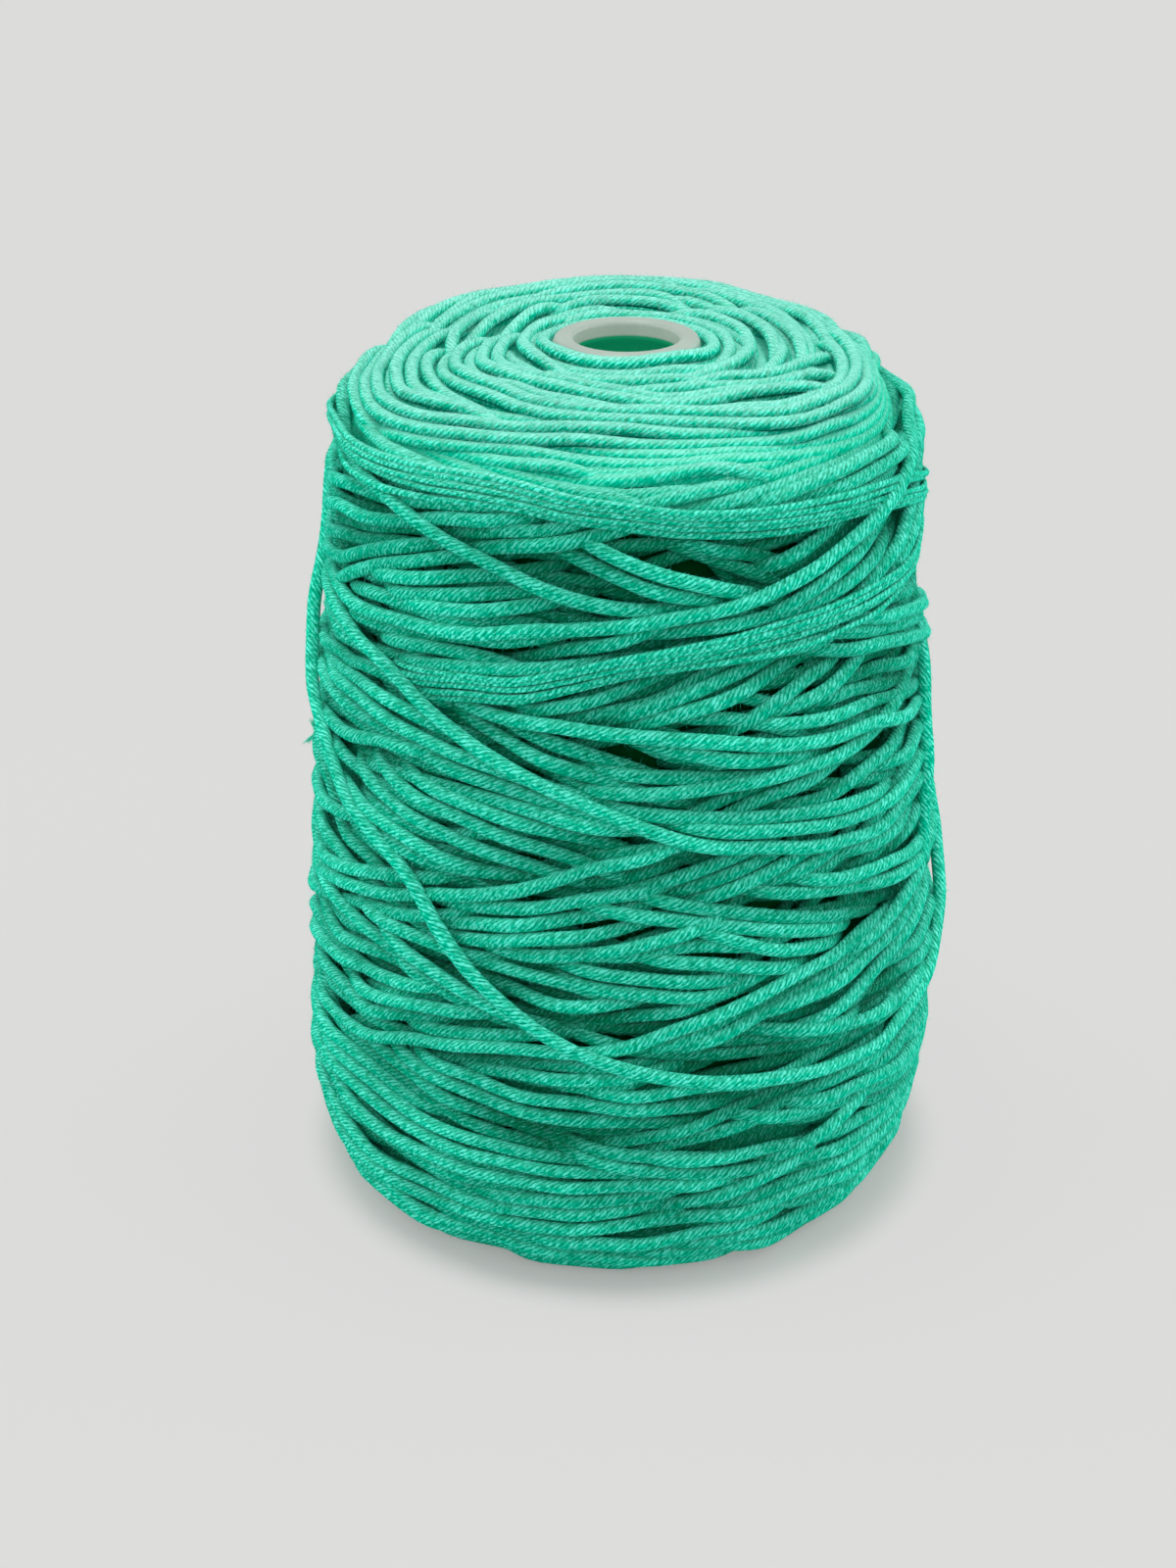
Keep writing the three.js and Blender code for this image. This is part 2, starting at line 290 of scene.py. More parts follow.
class Winding:
    """The package as it is wound, worked out from the outermost turn inwards. The map holds, by reach and
    azimuth, the lift under which the turns still to come have to stay."""

    def __init__(self, rng):
        down = np.arange(int(REACHES[-1] / CELL) + 2)[:, None] * CELL
        around = np.linspace(0, ROUND, COLUMNS, endpoint=False)
        waves = np.zeros((len(down), COLUMNS))
        for _ in range(CREST_WAVES):
            turns, wave = rng.integers(*WAVES_ROUND), rng.uniform(*WAVE_LENGTHS)
            slant = ROUND / wave * rng.choice((-1, 1))
            waves += np.sin(turns * around + down * slant + rng.uniform(0, ANY_PHASE))
        self.map = CREST_SWAY * waves / waves.std() - CREST_DROP

    def cells(self, azimuth, reach):
        """The map's rows and columns at these places."""
        row = np.clip((reach / CELL + 0.5).astype(int), 0, len(self.map) - 1)
        return row, (azimuth * (COLUMNS / ROUND) + 0.5).astype(int) % COLUMNS

    def room(self, azimuth, reach, radius):
        """The highest lift at which a yarn's middle still passes under what lies over the route."""
        across = sideways(azimuth, reach)
        found = np.full(len(azimuth), np.inf)
        for share in ACROSS_UNDER:
            cells = self.cells(*beside(azimuth, reach, across, share * radius))
            found = np.minimum(found, self.map[cells] - half_thickness(radius, share))
        return found

    def nested(self, azimuth, reach, radius, freedom, held):
        """The route moved aside by up to freedom, so that it rises between the turns that lie over it. An end
        that is held stays where it is."""
        start, off, share = reach.copy(), np.arange(len(reach)) * STEP, np.ones(len(reach))
        for end, way in zip(held, (off, off[::-1])):
            share = share * (np.clip(way / HOLD_REACH, 0, 1) if end else 1)
        for _ in range(NEST_ROUNDS if freedom > 0 else 0):
            below, above = (self.room(azimuth, reach + aside, radius) for aside in (NEST_FEEL, -NEST_FEEL))
            moved = reach + NEST_PULL * blurred(below - above, NEST_BLUR)
            reach = start + blurred(np.clip(moved - start, -freedom, freedom), NEST_BLUR) * share
        return reach

    def lay(self, azimuth, reach, radius, freedom, clear=0.0, pins=(None, None), sinks=(0, 0)):
        """Lays one yarn along a route, under all the ones before it. clear lifts it off, a pin holds an end's
        lift, and a sink lets an end run on straight and pulls it in among the turns below it by so much."""
        azimuth, reach = even_route(azimuth, reach)
        reach = self.nested(azimuth, reach, radius, freedom, [pin is not None for pin in pins])
        lift = blurred(self.pressed(self.room(azimuth, reach, radius)), LIFT_BLUR)
        lift = lift + resampled(clear, len(azimuth))
        deeper = DEEP_MORE * (1 - np.exp(np.minimum(lift + DEEP_FROM, 0) / DEEP_MORE))
        lift = np.where(lift > -DEEP_FROM, lift, -DEEP_FROM - deeper)
        azimuth, reach, lift = run_on(azimuth, reach, lift, sinks)
        way, sunk = np.arange(len(azimuth)) * STEP, np.zeros(len(azimuth))
        for pin, sink, off in zip(pins, sinks, (way, way[::-1])):
            if pin is not None:
                near = eased(np.clip(1 - off / PIN_REACH, 0, 1))
                lift = lift * (1 - near) + pin * near
            sunk += sink * np.clip(1 - off / DIVE, 0, 1) ** 2
        self.cover(azimuth, reach, lift, radius, sunk < HOLDS_TO)
        return Turn(azimuth, reach, lift - sunk, radius)

    @staticmethod
    def pressed(room):
        """A taut yarn comes up again only slowly on both sides of where it is held down."""
        lift = room.copy()
        for k in range(1, int(BEND_REACH / STEP)):
            rise = (k * STEP) ** 2 / (2 * TAUT_BEND)
            lift[k:] = np.minimum(lift[k:], room[:-k] + rise)
            lift[:-k] = np.minimum(lift[:-k], room[k:] + rise)
        return lift

    def cover(self, azimuth, reach, lift, radius, holding):
        """Lowers the map under a laid yarn, where it holds others down."""
        fine, samples = np.arange(0, len(azimuth) - 1, COVER_STEP / STEP), np.arange(len(azimuth))
        azimuth, reach, lift, holding = (np.interp(fine, samples, v) for v in (azimuth, reach, lift, holding))
        kept = holding > 0.5
        across = [part[kept] for part in sideways(azimuth, reach)]
        azimuth, reach, lift = azimuth[kept], reach[kept], lift[kept]
        for share in ACROSS_OVER:
            cells = self.cells(*beside(azimuth, reach, across, share * radius))
            np.minimum.at(self.map, cells, lift - half_thickness(radius, share))


def half_thickness(radius, share):
    """How far a pressed yarn reaches from its middle plane, at a share of its radius to one side."""
    return GIVE * radius * math.sqrt(1 - share * share)


def run_on(azimuth, reach, lift, sinks):
    """The same route with each end that goes in made longer, straight on and at the same lift."""
    for sink in sinks:      # the first end, then, turned round again, the last one
        azimuth, reach, lift = azimuth[::-1], reach[::-1], lift[::-1]
        if sink:
            far = np.arange(1, int(RUN_ON / STEP) + 1)
            azimuth = np.concatenate((azimuth, azimuth[-1] + (azimuth[-1] - azimuth[-4]) / 3 * far))
            reach = np.concatenate((reach, reach[-1] + (reach[-1] - reach[-4]) / 3 * far))
            lift = np.concatenate((lift, np.full(len(far), lift[-1])))
    return azimuth, np.clip(reach, *REACH_LIMITS), lift


def sideways(azimuth, reach):
    """Unit steps across a route, as (round, down) in millimetres."""
    around, down = np.gradient(azimuth) * radius_at(reach), np.gradient(reach)
    size = np.maximum(np.hypot(around, down), 1e-9)
    return -down / size, around / size


def beside(azimuth, reach, across, aside):
    """The places that lie so far aside from a route."""
    return azimuth + across[0] * aside / radius_at(reach), reach + across[1] * aside


def even_route(azimuth, reach):
    """The same route with its samples one STEP apart on the package's surface."""
    middle = radius_at((reach[1:] + reach[:-1]) / 2)
    way = travelled(np.diff(azimuth) * middle, np.diff(reach))
    even = np.arange(0, way[-1], STEP)
    return np.interp(even, way, azimuth), np.interp(even, way, reach)


def through(course):
    """A smooth route through points of azimuth in degrees, height and clearance, and its clearance."""
    azimuth, height, clear = np.array(course, float).T
    azimuth, reach = np.radians(azimuth), reach_of(height)
    way = travelled(np.diff(azimuth) * MEAN_RADIUS, np.diff(reach))
    fine = np.arange(0, way[-1], STEP / 2)
    return spline(way, azimuth, fine), spline(way, reach, fine), spline(way, clear, fine)


def bowed(start, end, bow):
    """A route from (azimuth, reach) to (azimuth, reach) that bows down by so much in its middle."""
    t = np.linspace(0, 1, 40)
    azimuth = np.radians(start[0] + (end[0] - start[0]) * t)
    return azimuth, start[1] + (end[1] - start[1]) * t + 4 * bow * t * (1 - t)


# ---- routes of the under turns ------------------------------------------------------------------------
GROUP_TOP, GROUP_BOTTOM = (4.0, 46.0), (232.0, 262.0)     # reaches between which a group turns back
GROUP_LIMITS = (3.2, REACHES[-1] - 3)
GROUP_SLOPE = (0.7, 1.35)     # a group's slope as a share of the mean one
GROUP_REPEATS = (2, 4)        # it goes down and up again two or three times
GROUP_BESIDE = 3.5            # how far a group's turns lie apart
GROUP_BLUR, TURNS_BLUR = 7, 6     # samples over which its turning back is rounded, and its heading read
SHORTEST_STRETCH = 60         # samples
UNDER_SINK = 6.0              # how deep its two ends go in


def wound_group(rng, crossing):
    """A few neighbouring turns: down the package and up again, coming back beside themselves."""
    top, bottom = rng.uniform(*GROUP_TOP), rng.uniform(*GROUP_BOTTOM)
    slope = crossing * rng.uniform(*GROUP_SLOPE)
    length = (bottom - top) / math.sin(slope)
    way = np.arange(0, 2 * length, STEP)
    cycle = top + (bottom - top) * (1 - np.abs(1 - way / length))
    repeats = rng.integers(*GROUP_REPEATS)
    reach = blurred(np.tile(cycle, repeats), GROUP_BLUR)
    reach = reach + wobble(rng, len(reach) * STEP, STEP, 75.0, 1.5)[:len(reach)]
    reach = np.clip(reach, *GROUP_LIMITS)
    turning = np.sqrt(np.maximum(STEP ** 2 - np.gradient(reach) ** 2, 0.3)) / radius_at(reach)
    azimuth = np.cumsum(turning)
    cycle_turn = azimuth[min(len(cycle), len(azimuth) - 1)]
    shift = GROUP_BESIDE / math.sin(slope) / MEAN_RADIUS
    target = round(cycle_turn / ROUND) * ROUND + shift * rng.choice((-1, 1))
    return azimuth * target / cycle_turn + rng.uniform(0, ROUND), reach


def stretches(azimuth, reach):
    """A long route cut where it turns back, so that each stretch can rest on the ones before it."""
    down = np.sign(blurred(np.gradient(reach), TURNS_BLUR))
    cuts = [0, *(np.nonzero(np.diff(down))[0] + 1), len(reach) - 1]
    kept = [cuts[0]]
    for cut in cuts[1:]:
        if cut - kept[-1] > SHORTEST_STRETCH:
            kept.append(cut)
    kept[-1] = len(reach) - 1
    return [(azimuth[a:b + 1], reach[a:b + 1]) for a, b in zip(kept, kept[1:])]


def wind_under_turns(winding, rng):
    """Winds the half hidden and the hidden turns."""
    turns = []
    for _ in range(sizes().groups):
        parts, end = stretches(*wound_group(rng, sizes().crossing)), None
        for k, (azimuth, reach) in enumerate(parts):
            sinks = (UNDER_SINK if k == 0 else 0, UNDER_SINK if k == len(parts) - 1 else 0)
            turns.append(winding.lay(
                azimuth, reach, sizes().radius, freedom=2.2, pins=(end, None), sinks=sinks,
            ))
            end = turns[-1].lift[-1]
    return turns


# ---- the outer turns, as they lie ---------------------------------------------------------------------
# Each row is a turn on the package's side, from the deepest to the outermost: the azimuth and the height at
# which it comes out, the azimuth and the height at which it goes under again, and how far it bows up between.
SIDE_TURNS = (
    (-62, 167, -36, 175.5, 0), (-64, 163, -33, 176, 1), (-64, 160, -28, 175, 0.5),
    (-54, 162.5, -18, 172, 0.5), (-48, 160.5, -12, 169, 0.5), (-42, 160, -12, 168, 0),
    (-14, 180, 16, 166, 0), (-4, 180, 20, 168, 0), (8, 181, 30, 169, 0), (12, 180.5, 36, 169.5, 0.5),
    (-30, 175, 6, 187, 0), (30, 170.5, 54, 180, 0.5), (30, 173, 50, 181, 0), (28, 161.5, 64, 177, 0.5),
    (46, 157.5, 72, 172, 0), (50, 154, 74, 167, 0), (-20, 152, 6, 163, 0), (-50, 149, -12, 150, 2),
    (-46, 145.5, -6, 153, 0.5), (-18, 141, 14, 155, 0), (0, 142, 38, 154, 1), (3, 140, 42, 151, 1.5),
    (22, 139.5, 44, 148, 0.5), (28, 139.5, 54, 149, -1), (34, 155.5, 80, 142, 0), (34, 153, 80, 138, 0),
    (46, 156.5, 80, 144.5, 0), (-4, 151, 40, 154, 1.5), (-64, 138, -36, 140, 2), (-66, 135, -32, 134.5, 1.5),
    (-24, 139, 16, 124.5, 0), (-34, 139.5, 8, 123, 0.5), (4, 136.5, 36, 127, 0), (26, 138.5, 66, 129.5, 1),
    (-4, 129.5, 30, 124.5, 0), (10, 115.5, 52, 128, 0.5), (-6, 125, 60, 129.5, -1.5),
    (-34, 141.5, 78, 124, 2), (-66, 133, -6, 123, 2), (-66, 129, 4, 117.5, 2), (-58, 124, -40, 127, 0.5),
    (-55, 117.5, -4, 117, 3.5), (-40, 120.5, 6, 110, 1), (-50, 119.5, 0, 106, 1), (-56, 117, -8, 103.5, 0.5),
    (-4, 121.5, 56, 112, -0.5), (10, 117, 78, 112.5, -3.5), (-4, 110, 12, 114.5, 0),
    (-4, 100.5, 28, 110.5, 0.5), (8, 101, 34, 108.5, 0.5), (16, 100.5, 40, 107, 0.5), (28, 101.5, 46, 107, 0),
    (-66, 88.5, -36, 98.5, 0), (-34, 94.5, 4, 102.5, 0.5), (-36, 89, 6, 99.5, 0), (-30, 86.5, 12, 99, 0),
    (-66, 80, -33, 91, 0), (-54, 84, -27, 84.5, 0.5), (-76, 81, 8, 114, -1), (3, 88.5, 28, 80.5, 0),
    (14, 97.5, 72, 79, -0.5), (24, 100.5, 66, 88.5, 0), (34, 99.5, 64, 93.5, -0.5), (4, 100.5, 56, 81.5, 0.5),
    (-6, 99, 40, 85, 1), (14, 92, 38, 82, 0), (-8, 84, 18, 80, 0), (-8, 81.5, 18, 77, 0), (-6, 88, 14, 94, 0),
    (-68, 81, -14, 69, 1.5), (-46, 80.5, -18, 70.5, 0.5), (-44, 76, -16, 66, 0), (-66, 66, -36, 74, 0),
    (-56, 64, -26, 69.5, 0), (-78, 64, -56, 68.5, 0), (-40, 60.5, -6, 68.5, 0.5), (-44, 50.5, 2, 61.5, 1.5),
    (-30, 54, 4, 60.5, 0.5), (-8, 67.5, 46, 58, -1), (6, 67.5, 56, 58.5, 0), (16, 69, 42, 61.5, 0.5),
    (6, 66.5, 64, 82, 1), (12, 66, 56, 79, 0.5), (26, 70.5, 66, 78.5, 0.5), (36, 65.5, 70, 78.5, 0),
    (-56, 50.5, 6, 33.5, 1), (-46, 53, 14, 43.5, 0), (-36, 54.5, 18, 48, 0), (-72, 49.5, -8, 35.5, 0),
    (-68, 45.5, -36, 40, 0), (-80, 41.5, 4, 33, 1), (-66, 36, 10, 31.5, 0), (-66, 30.5, -14, 24, 0),
    (-26, 22, 12, 28.5, 0), (-4, 39, 56, 51, 2), (4, 38.5, 66, 51, 1), (0, 36.5, 30, 44.5, 0.5),
    (24, 44.5, 74, 34, 0), (34, 45, 72, 37.5, 0), (-6, 38.5, 48, 30.5, 0), (6, 36.5, 58, 28.5, 1),
    (-6, 36.5, 72, 28, -4.5), (30, 31, 50, 40, 0), (-80, 32, 16, 30, -2), (-4, 16.5, 34, 29, 1),
    (6, 16.5, 62, 21.5, 2.5), (-10, 17, 56, 16.5, 2), (-14, 12.5, 34, 15.5, -0.5), (-58, 21.5, 6, 23, -3),
    (-76, 16, 8, 20.5, -3),
)
# Turns over the shoulder and the top, given by their reach instead of the height. These bow down.
TOP_TURNS = (
    (-130, 24, -92, 22, 0), (-150, 18, -100, 14, 0), (-175, 13, -120, 9, 0), (92, 18.5, 140, 18, 0),
    (100, 12, 152, 12, 0), (88, 24.5, 132, 24, 0), (150, 16, 205, 17.5, 0), (146, 25, 212, 25, 0),
    (-104, 44, -66, 48, 0), (-100, 40, -68, 44.5, 0), (-60, 45, -10, 52.5, -1.5),
    (-75, 44.5, -15, 50.5, -1.5), (12, 55, 70, 52, -2), (26, 56, 66, 54, -1.5), (-52, 41.5, 2, 54, -2),
    (5, 53.5, 78, 48, -3), (-14, 46, 24, 48.5, -2), (-46, 41, 0, 40, 1.5), (-66, 46, -12, 43.5, -1),
    (-14, 44, 44, 45, -5), (-52, 29.5, -6, 29.5, 1.5), (-50, 27.5, 0, 27, 0.5), (-92, 25, -40, 28.5, 2.5),
    (-24, 19, 14, 21.5, 0), (8, 15.5, 64, 30.5, -1.5), (-2, 13, 71, 30, -5), (34, 14.5, 92, 31, -2),
    (-42, 9.5, 30, 11.5, 0), (-150, 8, -40, 7, 0), (60, 7, 212, 7, 0),
)
# Longer ones over the top, by azimuth and reach, each with how far in or out its neighbours lie.
TOP_COURSES = (
    ((2.9,), (
        (-66, 45.5), (-56, 43.5), (-46, 42), (-36, 39.5), (-27, 37), (-16, 36.5), (0, 37), (12, 37.5),
        (24, 38), (33, 40), (43, 42), (50, 43.5), (60, 45.5), (75, 46.5), (95, 45.5),
    )),
    ((), ((-8, 34), (4, 34), (14, 35), (25, 36), (33, 37), (40, 39), (50, 42))),
    ((-2.9,), ((-104, 29), (-88, 33), (-75, 36), (-64, 38), (-55, 36), (-45, 34), (-36, 34))),
    ((2.8,), (
        (-110, 33), (-98, 36.5), (-80, 40), (-66, 41.5), (-46, 39.5), (-31, 36), (-18, 33.5), (0, 32),
        (11, 32), (18, 32.5), (26, 33.5), (36, 36), (44, 37.5), (52, 38.5), (62, 40), (75, 41.5), (90, 41),
        (106, 39.5),
    )),
    ((-2.8, 2.6), (
        (-100, 17), (-88, 20), (-75, 22), (-55, 23), (-41, 22.5), (-30, 24), (-23, 24.5), (-10, 25.2),
        (0, 25.5), (10, 26), (19, 27.5), (26, 29.5), (33, 32), (41, 34.5), (52, 36), (66, 37.5), (80, 37),
        (92, 35.5), (106, 33),
    )),
    ((-2.8,), (
        (-104, 13), (-85, 15.5), (-70, 17.5), (-44, 16.5), (-26, 16), (-10, 17.3), (0, 18.7), (10, 21.5),
        (22, 23), (32, 23.5), (40, 24.5), (46, 27), (54, 30), (62, 33),
    )),
)
# Long turns with a course of their own, as (azimuth, height, clearance), the outermost first.
LONG_TURNS = {
    "upturned": (
        (46, 78.5, 0), (60, 83, 0), (66, 86, 0.2), (70, 92, 0.4), (72, 104, 0.4), (74, 118, 0.2),
        (78, 130, 0),
    ),
    "crossing": (
        (-80, 150, 0), (-70, 149.5, 0), (-60, 147.5, 0), (-50, 144.5, 0), (-40, 139.5, 0.2),
        (-30, 134.5, 0.2), (-20, 129.5, 0.3), (-10, 125, 0.3), (0, 120, 0.3), (10, 115, 0.3),
        (20, 111.5, 0.2), (30, 109, 0.2), (40, 107, 0), (50, 105.5, 0), (60, 105.5, 0), (70, 106.5, 0),
        (82, 109, 0),
    ),
    "bright": (
        (-84, 152, 0), (-70, 154, 0), (-60, 154, 0), (-50, 155, 0), (-40, 156, 0), (-30, 157.8, 0),
        (-20, 160.5, 0.2), (-10, 162, 0.4), (0, 163.3, 0.4), (10, 164.5, 0.4), (20, 166.5, 0.4),
        (30, 168.5, 0.3), (40, 172, 0.2), (50, 175.5, 0), (60, 179, 0), (72, 183, 0),
    ),
    "steep_below_shoulder": (
        (-74, 186, 0), (-62, 184.5, 0), (-50, 183, 0), (-40, 179.5, 0), (-30, 175.5, 0), (-20, 171.5, 0),
        (-10, 168, 0), (0, 166, 0), (8, 165, 0),
    ),
    "elbow": ((-70, 50, 0), (-60, 51, 0), (-50, 53, 0), (-40, 58, 0), (-30, 61.5, 0), (-20, 63.5, 0),
              (-10, 65, 0), (0, 67, 0), (10, 71.5, 0), (20, 75, 0), (30, 78.5, 0), (40, 80, 0),
              (50, 81.5, 0), (62, 82, 0)),
    "hanging": (
        (-138, 178, 0), (-122, 177, 0), (-110, 174, 0.2), (-100, 166, 0.4), (-92, 151, 0.6), (-86, 138, 0.6),
        (-80, 128, 0.5), (-74, 121.5, 0.4), (-65, 115, 0.3), (-50, 105.5, 0.3), (-40, 98, 0.3),
        (-30, 85.5, 0.3), (-20, 75, 0.3), (-10, 67.5, 0.3), (0, 62.3, 0.3), (10, 59, 0.2), (20, 56.5, 0.2),
        (30, 54.5, 0.1), (40, 52.8, 0.1), (50, 52.5, 0.2), (60, 54.5, 0.2), (70, 58, 0.2), (80, 65, 0.3),
        (88, 77, 0.4), (96, 93, 0.4), (104, 110, 0.3), (120, 135, 0.2), (140, 150, 0),
    ),
}
# Turns whose twist has opened, so that their singles lie side by side as a ribbon.
OPEN_TURNS = {
    "at_shoulder": (
        (-140, 180, 0), (-110, 184, 0), (-88, 186, 0), (-80, 187, 0), (-60, 187.3, 0), (-40, 189, 0),
        (-30, 190, 0), (-20, 190, 0), (-10, 188.5, 0), (0, 187.3, 0), (10, 185.5, 0), (20, 184.3, 0),
        (30, 183.3, 0), (40, 182.3, 0), (50, 181, 0), (60, 179, 0.4), (70, 176.5, 0.6), (80, 173, 0.6),
        (95, 169, 0.4), (120, 163, 0), (150, 158, 0),
    ),
    "at_waist": (
        (-50, 141, 0), (-40, 143, 0), (-30, 145.5, 0), (-20, 147, 0), (-10, 150.5, 0), (0, 153.8, 0),
        (10, 155.5, 0), (20, 156.7, 0), (30, 157.5, 0), (40, 158, 0), (50, 158.3, 0), (60, 158.8, 0),
        (75, 160, 0), (95, 163, 0), (130, 170, 0),
    ),
}
FINER_ON_TOP = 0.98   # the turns are pulled thinner over the top
HANDED_OVER = 57      # an outer turn that gets this far round, in degrees, goes on round the back
SINK = 7.0            # how deep the end of an outer turn goes in
SLACK_TURN = "hanging"
SLACK_CLEAR = 1.6     # how much further out than the outer turns the slack one lies
LAID_UNDER_LONG = "bright"
PASSES = (-8, 9)      # how many places up or down the side a turn comes in again, after it went round
JOINED_OVER = 7       # samples by which two lengths that are joined match in direction
ENDS_ROUND = (1.4, 2.4)       # how far round the back, in radians, one with no turn to join runs
BACK_DRIFT = 22               # how far up or down it ends there at most
BACK_REACHES = (30, 250)      # and within which reaches
SAMPLES = 160                 # of a route before it is laid


def wind_outer_turns(winding, rng):
    """Lays the turns that show, and the singles of the opened ones. What reaches the sides goes on round the
    back and comes in again."""
    radius, turns, singles, leaving, arriving = sizes().radius, [], [], [], []

    def lay(azimuth, reach, **how):
        comes_in = math.degrees(azimuth[0]) < -HANDED_OVER
        goes_on = math.degrees(azimuth[-1]) > HANDED_OVER
        sinks = (0 if comes_in else SINK, 0 if goes_on else SINK)
        turn = winding.lay(azimuth, reach, radius, sinks=sinks, **how)
        turns.append(turn)
        if comes_in:
            arriving.append(turn)
        if goes_on:
            leaving.append(turn)

    for name, course in LONG_TURNS.items():
        azimuth, reach, clear = through(course)
        if name != SLACK_TURN:
            lay(azimuth, reach, freedom=0.4, clear=clear)
        if name == LAID_UNDER_LONG:
            for opened in OPEN_TURNS.values():
                singles += wind_open_turn(winding, opened, rng)
    for azimuth, reach, clear in routes_over_top():
        turns.append(winding.lay(
            azimuth, reach, radius * FINER_ON_TOP, freedom=0.5, clear=clear, sinks=(SINK, SINK),
        ))
    for a0, z0, a1, z1, bow in SIDE_TURNS[::-1]:
        reach = reach_of([z0, z1])
        lay(*bowed((a0, reach[0]), (a1, reach[1]), -bow), freedom=0.7)
    chains, used = join_round_the_back(winding, rng, leaving, arriving)
    return chains + [turn for turn in turns if turn not in used], singles


def routes_over_top():
    """The routes over the top, the outermost first, each with how far it is lifted off."""
    yield round_the_rim()
    for neighbours, course in TOP_COURSES[::-1]:
        azimuth, reach = np.array(course).T
        for shift in (0, *neighbours):
            fine = np.linspace(azimuth[0] + 2 * shift, azimuth[-1] + 3 * shift, SAMPLES)
            aside = shift * (1 + 0.12 * np.sin(fine / 9.0 + shift))
            yield np.radians(fine), spline(azimuth, reach, fine) + aside, 0
    for row in TOP_TURNS[::-1]:
        yield *bowed(row[0:2], row[2:4], row[4]), 0


def round_the_rim():
    """The turn that lies against the tube. In front it stands a little over the tube's edge."""
    azimuth = np.radians(np.linspace(-190, 150, 300))
    return azimuth, 2.7 + 0 * azimuth, 0.9 + 1.3 * np.cos(azimuth)


def join_round_the_back(winding, rng, leaving, arriving):
    """Each turn that leaves at the right goes round the back to one that arrives at the left. Gives the
    lengths of yarn that this joins up, and the turns that are in them."""
    leaving.sort(key=lambda turn: turn.reach[-1])
    arriving.sort(key=lambda turn: turn.reach[0])
    pairs = {}
    for i in range(len(leaving)):
        shift = PASSES[i % 2]
        for j in (i + shift, i + shift + 1, i + shift - 1, i - shift, i):
            if 0 <= j < len(arriving) and j not in pairs.values():
                pairs[i] = j
                break
    before, after = {}, {}
    for i in rng.permutation(len(leaving)):
        end = arriving[pairs[i]] if i in pairs else None
        back = round_the_back(winding, rng, leaving[i], end)
        after[leaving[i]], after[back] = back, end
    for j in sorted(set(range(len(arriving))) - set(pairs.values())):
        back = round_the_back(winding, rng, None, arriving[j])
        before[arriving[j]], after[back] = back, arriving[j]
    ends = {turn for turn in after.values() if turn is not None}
    starts = [turn for turn in (*before.values(), *leaving) if turn not in ends]
    chains, used = [], set()
    for start in (*starts, *leaving):
        chain, turn = [], start
        while turn is not None and turn not in used:
            used.add(turn)
            chain.append(turn)
            turn = after.get(turn)
        if chain:
            chains.append(joined(chain))
    return chains, used


def joined(chain):
    """Turns that follow each other, as one."""
    azimuth, reach, lift = [chain[0].azimuth], [chain[0].reach], [chain[0].lift]
    for turn in chain[1:]:
        rounds = round((azimuth[-1][-1] - turn.azimuth[0]) / ROUND) * ROUND
        azimuth.append(turn.azimuth[1:] + rounds)
        reach.append(turn.reach[1:])
        lift.append(turn.lift[1:])
    return Turn(*(np.concatenate(v) for v in (azimuth, reach, lift)), chain[0].radius)


def round_the_back(winding, rng, start, end):
    """One turn behind the package. An end with no turn to join sinks in under the others."""
    drift = rng.uniform(-BACK_DRIFT, BACK_DRIFT)
    if start is None:
        leave = end.azimuth[0] + ROUND - rng.uniform(*ENDS_ROUND)
        points = [(leave, np.clip(end.reach[0] + drift, *BACK_REACHES))]
    else:
        points = [(start.azimuth[k], start.reach[k]) for k in (-1 - JOINED_OVER, -1)]
    if end is None:
        arrive = start.azimuth[-1] + rng.uniform(*ENDS_ROUND)
        points.append((arrive, np.clip(start.reach[-1] + drift, *BACK_REACHES)))
    else:
        points += [(end.azimuth[k] + ROUND, end.reach[k]) for k in (0, JOINED_OVER)]
    azimuth, reach = np.array(points).T
    way = travelled(np.diff(azimuth) * MEAN_RADIUS, np.diff(reach))
    first = 0 if start is None else way[1]
    last = way[-1] if end is None else way[-2]
    fine = np.linspace(first, last, SAMPLES)
    share = np.linspace(0, 1, SAMPLES)
    sway = wobble(rng, SAMPLES + 1, 1.0, 40.0, 2.5)[:SAMPLES] * np.sin(share * math.pi)
    pins = (None if start is None else start.lift[-1], None if end is None else end.lift[0])
    sinks = (SINK if start is None else 0, SINK if end is None else 0)
    return winding.lay(
        spline(way, azimuth, fine), spline(way, reach, fine) + sway, sizes().radius,
        freedom=1.6, pins=pins, sinks=sinks,
    )


# ---- turns that fill what is left ---------------------------------------------------------------------
TOP_ARCS, ARC_SPAN = 24, (2.6, 5.6)               # how many there are, and the radians that one goes round
ARC_INNER, ARC_OUTER, ARC_LAST = 44, 50, 60       # reaches within which they start, end and sway
ARC_DRIFT = 9                                     # how much further in or out an arc ends at most
GOLDEN = 0.618                                    # steps of this share spread them evenly over the top
FILL_REACH, FILL_DIVE = 95.0, 8.0                 # how far a gap is followed, and how far an end runs on
FILL_TRIES = 160                                  # places of which the most open one is taken
FILL_SLOPES = (-19, -14, -9, -5, -2, 3, 6, 10, 15, 20)    # in degrees
STEEP_REACHES, FLATTER = (50, 225), 0.45          # off the side, the slopes are only this share as steep
FILL_BOW = 2.0                                    # how far a filling turn bows up or down, as a rule
# The reaches between which a turn may start, how many are tried, the lift from which a gap counts as open,
# and the shortest one that is laid.
FILLING = (((2, 60), 170, -1.6, 6.0), ((45, 262), 380, -2.1, 12.0))
FILLING_DEEP = (((2, 60), 120, -3.6, 1.5), ((45, 262), 450, -4.2, 1.5))
